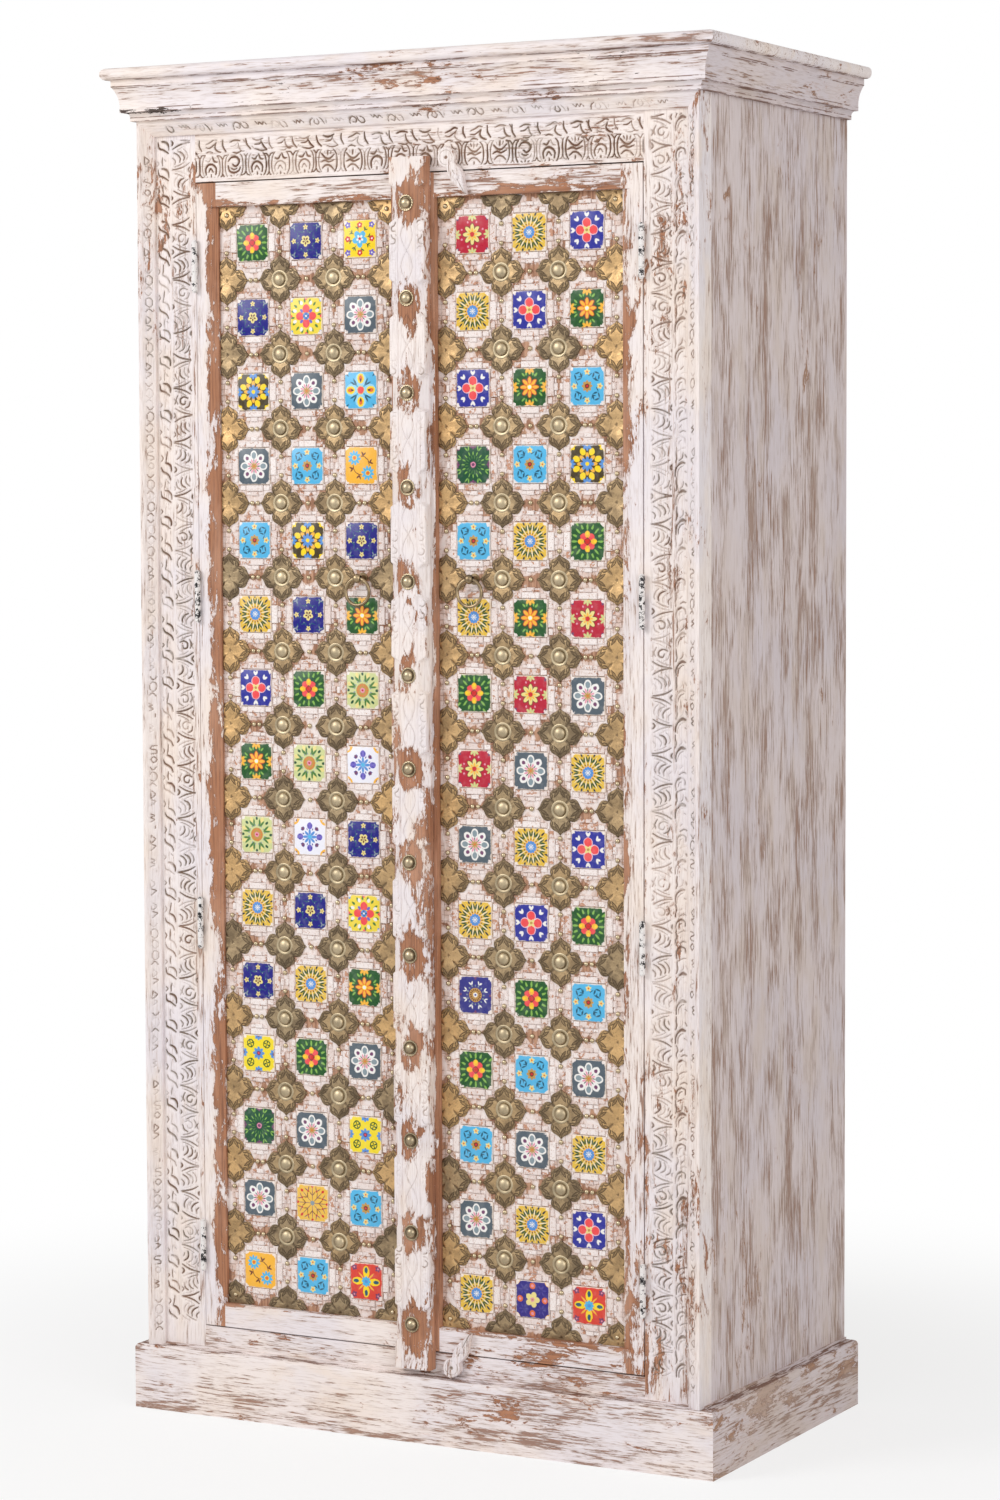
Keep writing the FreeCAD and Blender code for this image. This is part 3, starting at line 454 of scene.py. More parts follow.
STROKES = [[
    ([(0.6, 21.6), (1.2, 12.6), (6.0, 5.2)], 1.0, 1.0),
    ([(12, 17.2), (20, 19.6), (28.5, 18.2)], 1.15, 1.0),
    ([(13.4, 11.8), (20, 12.4), (25.4, 16.4)], 0.85, 0.85),
    ([(25.4, 15.4), (27, 8.8), (31, 4.4), (35.2, 3.8)], 1.1, 1.0),
    ([(30, 4.6), (24, 2.2), (17, 3.4)], 0.9, 0.9),
    ([(33.4, 19.6), (36, 15.4)], 0.8, 0.7),
], [
    ([(-0.6, 20.4), (1.6, 12.0), (7.4, 5.6)], 1.1, 1.0),
    ([(10.4, 19.4), (18, 16.8), (27, 19.4)], 1.1, 1.0),
    ([(14, 11.6), (22, 12.2), (24.6, 17.2)], 0.9, 0.85),
    ([(24.6, 14.4), (28.4, 8.6), (33.6, 4.2)], 1.15, 1.0),
    ([(33.4, 4.2), (25, 3.0), (15.4, 5.4)], 0.9, 0.9),
    ([(9.4, 9.6), (12.8, 6.4)], 0.8, 0.7),
], [
    ([(1.0, 21.4), (0.4, 13.4), (4.4, 5.6)], 1.0, 1.0),
    ([(11.6, 14.6), (19, 17.4), (24.6, 20.4), (29.4, 19)], 1.15, 1.0),
    ([(11, 10.2), (17.4, 9.6), (23.4, 13), (27.8, 16.4)], 0.9, 0.85),
    ([(27.6, 16.2), (25.6, 9.4), (29.6, 4.6), (35, 2.8)], 1.1, 1.0),
    ([(22.6, 3.0), (16.4, 4.6), (11.4, 2.8)], 0.9, 0.85),
]]
FAN_HEIGHT, FAN_PITCH = 32.0, 37.0
STEM = [
    ([(0.3, 26.5), (-0.2, 19), (0.3, 12), (0, 5.5)], 1.0, 1.05),
    ([(-9.0, 31.4), (-3.4, 30.2), (0.2, 26.2), (3.6, 30.4), (9.0, 31.2)], 0.85, 0.95),
    ([(-6.4, 0.9), (-2.2, 2.4), (0.2, 5.8), (2.4, 2.2), (6.4, 0.8)], 0.85, 0.9),
]
FLANK = [([(9.8, 31.4), (6.3, 27.0), (4.7, 20.4), (4.5, 12.6), (5.7, 6.4), (8.8, 0.8)], 0.95, 1.0)]


def mirror_strokes(strokes, width):
    """The same strokes and their mirror images about the middle of the motif."""
    return strokes + [([(width - u, v) for u, v in points], reach, deep) for points, reach, deep in strokes]


def turned(motifs):
    """The same motifs with along and across changed over, for a strip that lies flat."""
    return [[([(v, u) for u, v in points], reach, deep) for points, reach, deep in strokes]
            for strokes in motifs]


FANS = [STEM + mirror_strokes(FLANK, FAN_PITCH) + more for more in ([
    ([(9.5, 22.5), (14, 27), (22.5, 26.5), (26.5, 20), (21, 14.5), (16, 17.5)], 1.3, 1.0),
    ([(9.0, 16.5), (11, 9.5), (17.5, 6.2), (25.5, 8.2), (28.2, 13)], 1.2, 0.95),
    ([(18.5, 1.8), (18.8, 5.0)], 0.9, 0.8),
    ([(13, 13.2), (18, 10.6), (23, 11.6)], 1.0, 0.85),
    ([(27.8, 24.5), (27.4, 19)], 0.9, 0.8),
    ([(12.2, 3.6), (15.2, 1.6)], 0.9, 0.8),
    ([(22, 1.6), (25, 3.6)], 0.9, 0.8),
    ([(13.4, 30.4), (18.5, 29.6), (23.6, 30.6)], 0.9, 0.8),
], [
    ([(8.6, 25.5), (14.5, 20), (21, 19), (28.5, 25)], 1.3, 1.0),
    ([(8.4, 14.5), (14, 16.6), (20, 14.6), (28.4, 17.6)], 1.2, 0.95),
    ([(10, 6.2), (15.5, 10.4), (22, 9.6), (27.6, 4.6)], 1.2, 0.9),
    ([(18.4, 30), (18.2, 23.6)], 1.1, 0.9),
    ([(13.2, 29.2), (14.8, 25.2)], 0.9, 0.8),
    ([(23.6, 29.4), (22.4, 25)], 0.9, 0.8),
    ([(18.6, 6.4), (18.4, 1.6)], 1.0, 0.8),
], [
    ([(10.4, 5.2), (9.4, 12.4), (13.8, 18.4), (20.4, 19), (26.2, 14), (25.8, 6)], 1.3, 1.0),
    ([(14.4, 8.6), (17.4, 13.6), (21.8, 8.8)], 1.1, 0.9),
    ([(9.4, 24), (14.6, 22.8), (18.2, 27.4)], 1.2, 0.9),
    ([(28, 22.6), (23.2, 23.6), (20.4, 29.6)], 1.2, 0.9),
    ([(18.4, 5.4), (18.6, 1.6)], 1.0, 0.8),
    ([(13.2, 3.0), (11.4, 0.8)], 0.8, 0.7),
    ([(23.6, 2.8), (25.6, 0.9)], 0.8, 0.7),
])]
LEAF_WIDTH, LEAF_PITCH = 15.0, 31.0
LEAVES = [[
    ([(12.4, 28), (5, 27), (3.6, 23.4), (11, 21.4), (11.6, 17.4), (4, 16.4)], 0.8, 0.95),
    ([(3.6, 8.6), (7.6, 12.6), (12, 8.6), (8, 4.2), (3.6, 8.6)], 0.85, 0.95),
], [
    ([(3, 25), (8.4, 22.4), (3.2, 20), (8.6, 17), (3.6, 14.2)], 0.8, 0.95),
    ([(11.4, 10), (10.8, 5.2)], 0.9, 0.8),
], [
    ([(2.4, 29), (6.8, 24.6), (12, 29)], 0.85, 0.9),
    ([(3, 12), (3.2, 18.6), (7.6, 21.6), (12, 18), (11.8, 12), (7.6, 8.8), (3, 12)], 0.8, 0.85),
    ([(2.6, 2.4), (7, 6.4), (12.4, 2)], 0.85, 0.9),
], [
    ([(3.6, 27), (3.2, 16.4), (9.4, 21.6), (4.4, 26.2)], 0.8, 0.9),
    ([(4, 6), (10.4, 12), (4, 14)], 0.8, 0.9),
]]
SPRIG_WIDTH, SPRIG_PITCH = 15.0, 60.0
SPRIGS = [[
    ([(2.4, 4), (6.8, 7), (3.4, 10), (7.6, 13), (3.4, 16.4), (7, 20)], 0.85, 1.0),
    ([(13, 28), (6, 29.4), (2.2, 34.6), (6, 39.4), (11.4, 37), (10, 32.6)], 0.9, 1.0),
    ([(2.6, 41.4), (8, 42), (12.6, 46), (10.6, 51), (5, 50), (3.2, 46.2)], 0.9, 1.0),
    ([(2, 30.6), (4.6, 27.4)], 0.8, 0.8),
], [
    ([(3, 3), (6.8, 6.4), (3, 9), (6.8, 12), (3.2, 14.6), (7.2, 18.4)], 0.85, 1.0),
    ([(12.6, 27), (5.4, 29), (2.2, 33.6)], 0.9, 0.95),
    ([(3.2, 36.4), (9, 34.6), (12.2, 38.6), (8.2, 42), (3.6, 40)], 0.9, 1.0),
    ([(2.2, 44.4), (6, 47.6), (12.6, 50)], 0.9, 0.95),
    ([(10.6, 53), (5.2, 53.8)], 0.8, 0.8),
]]
CURL_WIDTH, CURL_PITCH = 12.0, 17.0
CURLS = [[
    ([(1.5, 3), (5, 1.4), (9, 3.6), (9.6, 8), (6.6, 10.4)], 1.0, 1.0),
    ([(10.4, 12), (8, 15), (3, 15.2)], 1.0, 0.9),
], [
    ([(9.6, 2.4), (4.4, 3.4), (3.4, 8), (7.4, 10.4), (9.4, 14.6)], 1.0, 1.0),
    ([(1, 12.4), (3.4, 15)], 0.9, 0.8),
]]


def steps(start, stop, step, extra=()):
    """Even steps from start to stop, with a few further stations."""
    inner = np.linspace(start, stop, max(2, round((stop - start) / step) + 1))
    return np.unique(np.concatenate([inner, np.asarray(extra, float)]))


def ease(t):
    """0 to 1 with a soft start and end: t^2 (3 - 2 t)."""
    return t * t * (3 - 2 * t)


def ridge(gap, half):
    """1 - (gap / half)^2 where the gap is under half, and 0 beyond."""
    return np.clip(1 - (gap / half) ** 2, 0, 1)


def gouge(shape, seed, strength=0.12):
    """Slow unevenness of a hand-planed face, from 0 to strength millimetres."""
    random = np.random.default_rng(seed)
    coarse = random.uniform(0, 1, (max(3, shape[0] // 14), max(3, shape[1] // 14)))
    rows = np.linspace(0, coarse.shape[0] - 1, shape[0])
    columns = np.linspace(0, coarse.shape[1] - 1, shape[1])
    low_r = np.minimum(rows.astype(int), coarse.shape[0] - 2)
    low_c = np.minimum(columns.astype(int), coarse.shape[1] - 2)
    fr, fc = ease(rows - low_r)[:, None], ease(columns - low_c)[None]
    a, b = coarse[low_r][:, low_c], coarse[low_r + 1][:, low_c]
    c, d = coarse[low_r][:, low_c + 1], coarse[low_r + 1][:, low_c + 1]
    return strength * ((a * (1 - fr) + b * fr) * (1 - fc) + (c * (1 - fr) + d * fr) * fc)


def carved_face(x, z, face, depth, seed):
    """Points of a face that is cut back by the depths and a little uneven, with a level rim."""
    y = face + depth * sizes().carving_depth / MM + gouge(x.shape, seed)
    y[0] = y[-1] = y[:, 0] = y[:, -1] = face
    return np.stack([x, y, z], -1)


# Shaders


def math_method(kind, reflected=False):
    """A method that adds one Math node, with its values in turned order for a reflected operator."""
    def method(*values):
        return values[0].math(kind, *(values[::-1] if reflected else values))
    return method


class Number:
    """A number socket. Arithmetic on it adds Math nodes."""

    def __init__(self, nodes, socket):
        self.nodes, self.socket = nodes, socket

    def math(self, operation, *values):
        return self.nodes.number("ShaderNodeMath", dict(enumerate(values)), operation=operation)

    __add__, __radd__ = math_method("ADD"), math_method("ADD", True)
    __sub__, __rsub__ = math_method("SUBTRACT"), math_method("SUBTRACT", True)
    __mul__, __rmul__ = math_method("MULTIPLY"), math_method("MULTIPLY", True)
    __truediv__, __rtruediv__ = math_method("DIVIDE"), math_method("DIVIDE", True)
    __pow__, __rpow__ = math_method("POWER"), math_method("POWER", True)
    __abs__, cos, sin = math_method("ABSOLUTE"), math_method("COSINE"), math_method("SINE")
    low, high = math_method("MINIMUM"), math_method("MAXIMUM")

    def __neg__(self):
        return self * -1.0

    def wrap(self, pitch):
        """Distance from the nearest whole multiple of the pitch, with its sign."""
        return self.math("WRAP", self, pitch / 2, -pitch / 2)

    def rise(self, low, high):
        """0 below low, 1 above high, with a soft step between. high may be the smaller."""
        if high < low:
            return 1 - self.rise(high, low)
        return self.nodes.number("ShaderNodeMapRange", {0: self, 1: low, 2: high},
                                 interpolation_type="SMOOTHSTEP")


class Nodes:
    """Adds nodes to one material or world."""

    def __init__(self, owner):
        owner.use_nodes = True
        self.tree = owner.node_tree
        self.tree.nodes.clear()

    def add(self, kind, inputs=None, output=0, **settings):
        node = self.tree.nodes.new(kind)
        for key, value in settings.items():
            setattr(node, key, value)
        for key, value in (inputs or {}).items():
            value = value.socket if isinstance(value, Number) else value
            if isinstance(value, bpy.types.NodeSocket):
                self.tree.links.new(value, node.inputs[key])
            else:
                node.inputs[key].default_value = value
        return node.outputs[output] if node.outputs else None

    def number(self, kind, inputs=None, output=0, **settings):
        return Number(self, self.add(kind, inputs, output, **settings))

    def place(self):
        """The surface point in metres, as x, y and z."""
        point = self.add("ShaderNodeTexCoord", output="Object")
        return [self.number("ShaderNodeSeparateXYZ", {0: point}, k) for k in range(3)]

    def vector(self, x, y, z):
        return self.add("ShaderNodeCombineXYZ", {0: x, 1: y, 2: z})

    def noise(self, vector, scale, detail=3.0, roughness=0.55, warp=0.0):
        return self.number("ShaderNodeTexNoise", {"Vector": vector, "Scale": scale, "Detail": detail,
                                                  "Roughness": roughness, "Distortion": warp})

    def value(self, name):
        """A value stored on the mesh's points."""
        return self.number("ShaderNodeAttribute", output="Fac", attribute_name=name)

    def mix(self, factor, a, b):
        return self.add("ShaderNodeMix", {0: factor, 6: a, 7: b}, 2, data_type="RGBA")

    def bump(self, height, distance, strength):
        return self.add("ShaderNodeBump", {"Height": height, "Distance": distance, "Strength": strength})

    def finish(self, base, roughness, normal, metallic=0.0, **more):
        inputs = {"Base Color": base, "Roughness": roughness, "Metallic": metallic, **more, "Normal": normal}
        self.add_output(self.add("ShaderNodeBsdfPrincipled", inputs))

    def add_output(self, surface, kind="ShaderNodeOutputMaterial"):
        self.add(kind, {"Surface": surface})


def new_material(name, kind=Nodes):
    """A material, and the object that adds nodes to it."""
    material = bpy.data.materials.new(name)
    return material, kind(material)


def grain_vector(nodes, grain, stretch):
    """The surface point, drawn out along the grain so that noise on it makes streaks."""
    x, y, z = nodes.place()
    scale = {"x": (stretch, 1, 1), "y": (1, stretch, 1), "z": (1, 1, stretch)}[grain]
    return nodes.vector(x * scale[0], y * scale[1], z * scale[2])


def painted(name, grain="z", wear=0.0, streaks=0.5, bare=None, base="paint", carved=0.0, dark=None, run=0.07,
            creases=(), fine=1.0, clumps=0.0):
    """Worn paint on wood.

    The noises are added to a score whose mean is 0 and spread is 1, and the wood is bare where it passes 2.2
    less wear, so wear 1 bares an eighth of the surface and wear 2 near half. streaks does the same for fine
    lines along the grain, which are longer the smaller run is and thinner the larger fine is. clumps gathers
    them in patches. bare(x, y, z) adds to the score, and dark(x, y, z) to that of chips that are nearly
    black. With carved above 0 the mesh's cavity value darkens the grooves that much, as dirt and as painted
    shade in the hollows. Bare wood is darker next to the paint's edge, as dirt and as the painted shadow of
    that edge. creases are heights in millimetres along which the paint darkens in broken lines.
    """
    material, n = new_material(name)
    x, y, z = n.place()
    plain = n.vector(x, y, z)
    slow = n.noise(grain_vector(n, grain, 0.30), 7.0, 3.0, 0.55)
    patch = n.noise(grain_vector(n, grain, 0.36), 36.0, 7.0, 0.70, 0.7)
    ragged = n.noise(grain_vector(n, grain, 0.25), 290.0, 4.0, 0.75)
    columns = n.noise(grain_vector(n, grain, 0.05), 24.0, 3.0, 0.6)
    lines = n.noise(grain_vector(n, grain, run), 340.0 * fine, 4.0, 0.65)
    scratches = n.noise(grain_vector(n, grain, run), 620.0, 2.0, 0.5)
    score = (slow * 0.34 + patch * 0.50 + ragged * 0.24 - 0.54) * 24.7
    if bare:
        score = score + bare(x, y, z)
    limit = 2.2 - wear
    worn = score.rise(limit, limit + 0.14)
    line_score = (lines * 0.72 + columns * 0.45 + patch * 0.14 - 0.655) * 17.2
    if clumps:
        clump = n.noise(grain_vector(n, grain, 0.30), 26.0, 3.0, 0.6)
        line_score = line_score + (lines - 0.5) * 8.0 + (clump - 0.5) * clumps
    line = line_score.rise(2.3 - streaks, (3.5 if clumps else 2.5) - streaks)
    gone = worn.high(line * 0.8)

    side = base != "paint"
    tone, cloud = n.noise(plain, 5.0, 3.0), n.noise(grain_vector(n, grain, 0.35), 19.0, 4.0, 0.6)
    # Side faces take the side paints, which hold painted shade of the sides.
    paint = n.mix(tone.rise(0.40, 0.62), tint(base), tint("shaded_side_cool" if side else "paint_cool"))
    paint = n.mix(cloud.rise(0.46, 0.68) * 0.65, paint, tint("shaded_side_warm" if side else "paint_warm"))
    paint = n.mix(scratches.rise(0.50, 0.66) * 0.20, paint, tint("groove"))
    paint = n.mix(line_score.rise(0.6 - streaks, 2.3 - streaks) * 0.45, paint, tint("thin_paint"))
    fibre = n.noise(grain_vector(n, grain, 0.03), 420.0, 3.0, 0.65)
    wood = n.mix(fibre.rise(0.42, 0.66) * (0.4 if side else 0.7), tint("side_wood" if side else "wood"),
                 tint("wood_dark"))
    wood = n.mix(cloud.rise(0.44, 0.64) * 0.5, wood, tint("shaded_side_warm" if side else "wood_pale"))
    # Bare wood darkens next to the paint's edge, as dirt and as the painted shadow of that edge.
    wood = n.mix(score.rise(limit + 0.7, limit + 0.1) * 0.5, wood, tint("wood_dark"))
    rim = score.rise(limit - 0.7, limit) * (1 - worn)
    surface = n.mix(rim * 0.35, paint, tint("wood_pale"))
    surface = n.mix(gone, surface, wood)
    if carved:
        # Grooves darken with the cavity value, as dirt and as painted shade in the carving's hollows. The
        # deepest cuts darken most.
        cavity = n.value("cavity")
        dirt_and_shade = n.noise(plain, 30.0, 4.0, 0.6)
        groove_dirt_and_shade = n.mix(tone.rise(0.42, 0.58), tint("groove"), tint("groove_olive"))
        surface = n.mix(cavity.rise(0.15, 0.95) * dirt_and_shade.rise(0.20, 0.50) * carved, surface, groove_dirt_and_shade)
        deepest = cavity.rise(0.70, 1.05) * dirt_and_shade.rise(0.42, 0.58) * carved * 0.7
        surface = n.mix(deepest, surface, tint("wood_dark"))
    if creases:
        # At the crease heights the paint darkens in broken lines.
        nearest = functools.reduce(Number.low, [abs(z / MM - level) for level in creases])
        broken = nearest.rise(1.1, 0.3) * (patch + lines).rise(0.96, 1.03) * 0.85
        surface = n.mix(broken, surface, tint("wood_dark"))
    if dark:
        chips = (ragged - 0.5) * 11.0 + (patch - 0.5) * 9.0 + dark(x, y, z) * 3.1
        surface = n.mix(chips.rise(2.3, 2.5), surface, linear(62, 46, 38))
    height = (1 - gone) * 0.55 + fibre * 0.16 + ragged * 0.10 - scratches * 0.05
    n.finish(surface, gone * 0.10 + 0.68, n.bump(height, 0.0006, 0.9))
    return material


def bare_wood(name, grain="z"):
    """Plain unpainted boards with long fibres and a few darker growth bands."""
    material, n = new_material(name)
    slow = n.noise(grain_vector(n, grain, 0.06), 14.0, 4.0, 0.6, 0.8)
    fibre = n.noise(grain_vector(n, grain, 0.02), 260.0, 3.0, 0.6)
    base = n.mix(slow.rise(0.35, 0.65), tint("inside_wood"), linear(150, 112, 80))
    base = n.mix(fibre.rise(0.50, 0.75) * 0.45, base, linear(112, 80, 56))
    n.finish(base, fibre * 0.15 + 0.62, n.bump(fibre, 0.0003, 0.5))
    return material


def metal_flecks(n, scale):
    x, y, z = n.place()
    return n.noise(n.vector(x, y, z), scale, 4.0, 0.6)


def brass_plain(name, base="nail", dark=0.35, rough=0.30):
    """Aged brass for turned pieces: clouded, with dirt where the mesh says so."""
    material, n = new_material(name)
    cloud, pits = metal_flecks(n, 60.0), metal_flecks(n, 700.0)
    shade = n.mix(cloud.rise(0.35, 0.70) * dark, tint(base), tint("brass_dark"))
    shade = n.mix(n.value("cavity").rise(0.2, 0.9) * 0.85, shade, tint("brass_dark"))
    n.finish(shade, pits * 0.18 + rough, n.bump(pits * 0.5 + cloud * 0.5, 0.0002, 0.5), 1.0)
    return material


PETAL_LOOPS = (((0.95, 0.02), (0.66, 0.31), 0.075), ((0.65, 0.35), (0.40, 0.385), 0.060),
               ((0.84, 0.0), (0.50, 0.23), 0.050))


def lens(along, across, start, end, half_width):
    """How far outside a pointed leaf a point lies: |s| - w (1 - t^2), t along the leaf and s across it."""
    (a0, b0), (a1, b1) = start, end
    half = math.hypot(a1 - a0, b1 - b0) / 2
    ca, cb = (a1 - a0) / (2 * half), (b1 - b0) / (2 * half)
    da, db = along - (a0 + a1) / 2, across - (b0 + b1) / 2
    t = (da * ca + db * cb) * (1 / half)
    return abs(db * ca - da * cb) - (1 - t * t) * half_width


def brass_sheet(name):
    """Stamped sheet brass. Its UV map is the place in the flower from -1 to 1.

    The map is folded into half a petal: along is the larger of |u| and |v|, across the smaller. Three leaf
    shapes lie there, two at the petal's edge and one inside, each with a sunk outline.
    """
    material, n = new_material(name)
    uv = n.add("ShaderNodeUVMap", uv_map="UVMap")
    u, v = (abs(n.number("ShaderNodeSeparateXYZ", {0: uv}, k)) for k in range(2))
    along, across = u.high(v), u.low(v)
    line = None
    for shape in PETAL_LOOPS:
        outside = lens(along, across, *shape)
        edge = abs(outside).rise(0.026, 0.010).high(abs(outside + 0.034).rise(0.014, 0.004) * 0.6)
        line = edge if line is None else line.high(edge)
    rim = n.value("edge").rise(0.86, 0.92) * n.value("edge").rise(1.0, 0.95)
    # Lines also darken with the cavity value, as tarnish and as painted shade between the petals.
    line = line.high(n.value("cavity").rise(0.2, 0.9) * 0.8).high(rim * 0.6)
    gold, cloud, pits = n.value("gold"), metal_flecks(n, 45.0), metal_flecks(n, 420.0)
    hammer = n.number("ShaderNodeTexVoronoi", {"Vector": n.vector(u, v, 0.0), "Scale": 9.0})
    # The flower's gold value mixes in brighter brass: random tone on most flowers, and a painted sheen on the
    # side columns.
    shade = n.mix(gold, tint("brass"), tint("brass_gold_and_sheen"))
    shade = n.mix(cloud.rise(0.42, 0.62) * (0.60 - gold * 0.35), shade, tint("brass_dark"))
    shade = n.mix(pits.rise(0.52, 0.66) * 0.35, shade, tint("brass_dark"))
    shade = n.mix(line * 0.85, shade, tint("brass_dark"))
    height = hammer * 0.20 - line * 1.0 + cloud * 0.5 + pits * 0.15
    n.finish(shade, cloud * 0.25 + 0.34, n.bump(height, 0.0007, 0.9), 0.75)
    return material


# Painted tiles


class Tile(Nodes):
    """Draws the layers of a painted tile. Its UV map runs from -1 to 1 over the tile."""

    def __init__(self, material):
        super().__init__(material)
        uv = self.add("ShaderNodeUVMap", uv_map="UVMap")
        shake = (self.noise(uv, 6.0, 2.0) - 0.5) * 0.07
        self.u = self.number("ShaderNodeSeparateXYZ", {0: uv}, 0) + shake
        self.v = self.number("ShaderNodeSeparateXYZ", {0: uv}, 1) - shake
        au, av = abs(self.u), abs(self.v)
        far, near = au.high(av), au.low(av)
        self.places = {
            "centre": (self.u, self.v), "corner": (1 - au, 1 - av), "edge": (1 - far, near),
            "floret": (far - 0.74, near), "quarter": (au - 0.52, av - 0.52), "outer": (au - 0.74, av - 0.74),
            "twin": (abs(self.u + self.v) * 0.7071 - 0.58, (self.u - self.v) * 0.7071),
        }
        self.polars = {}

    def polar(self, place):
        """Distance from the motif's middle, and the angle round it."""
        if place not in self.polars:
            a, b = self.places[place]
            self.polars[place] = (a * a + b * b) ** 0.5, b.math("ARCTAN2", b, a)
        return self.polars[place]

    def petals(self, place, count, middle, reach, width, turn=0.0, side=0.0, lean=0.0):
        """Ellipses in a ring. With the angle folded into one of n sectors, p = r cos - m and q = |r sin| - s,
        both leant over, lie inside (p / a)^2 + (q / b)^2 < 1. A side distance s makes mirrored pairs."""
        r, angle = self.polar(place)
        fold = (angle + turn).wrap(2 * math.pi / count)
        p, q = r * fold.cos() - middle, abs(r * fold.sin()) - side
        if lean:
            p, q = p * math.cos(lean) + q * math.sin(lean), q * math.cos(lean) - p * math.sin(lean)
        p, q = p * (1 / reach), q * (1 / width)
        soft = 0.018 / min(reach, width)
        return ((p * p + q * q) ** 0.5).rise(1 + soft, 1 - soft)

    def scallop(self, place, radius, lobes, depth=0.15):
        """Inside r < R (1 - d + d |cos(n angle / 2)|), a disc with a lobed edge."""
        r, angle = self.polar(place)
        lobe = abs((angle * (lobes / 2)).cos())
        return (r / (lobe * depth + (1 - depth))).rise(radius + 0.02, radius - 0.02)

    def disc(self, place, radius):
        return self.polar(place)[0].rise(radius + 0.02, radius - 0.02)

    def ring(self, place, radius, width):
        return abs(self.polar(place)[0] - radius).rise(width + 0.015, width - 0.015)


WHITE, CREAM, LEMON, AMBER = (238, 236, 232), (234, 218, 140), (248, 214, 36), (244, 182, 62)
ORANGE, RED, CORAL, CRIMSON = (226, 110, 50), (206, 44, 46), (236, 78, 82), (184, 34, 58)
PINK, BROWN, OLIVE, LIME = (228, 150, 172), (104, 52, 44), (190, 148, 78), (132, 180, 84)
LEAF, GREEN, PINE, TEAL = (74, 122, 60), (34, 84, 40), (28, 78, 52), (34, 88, 112)
SKY, AZURE, ROYAL, NAVY = (84, 180, 226), (88, 144, 212), (46, 50, 150), (28, 26, 126)
INK, SLATE, VIOLET, MAUVE = (40, 46, 60), (84, 96, 106), (112, 100, 192), (116, 66, 104)
HAZE = (134, 150, 158)
EIGHTH = math.pi / 4

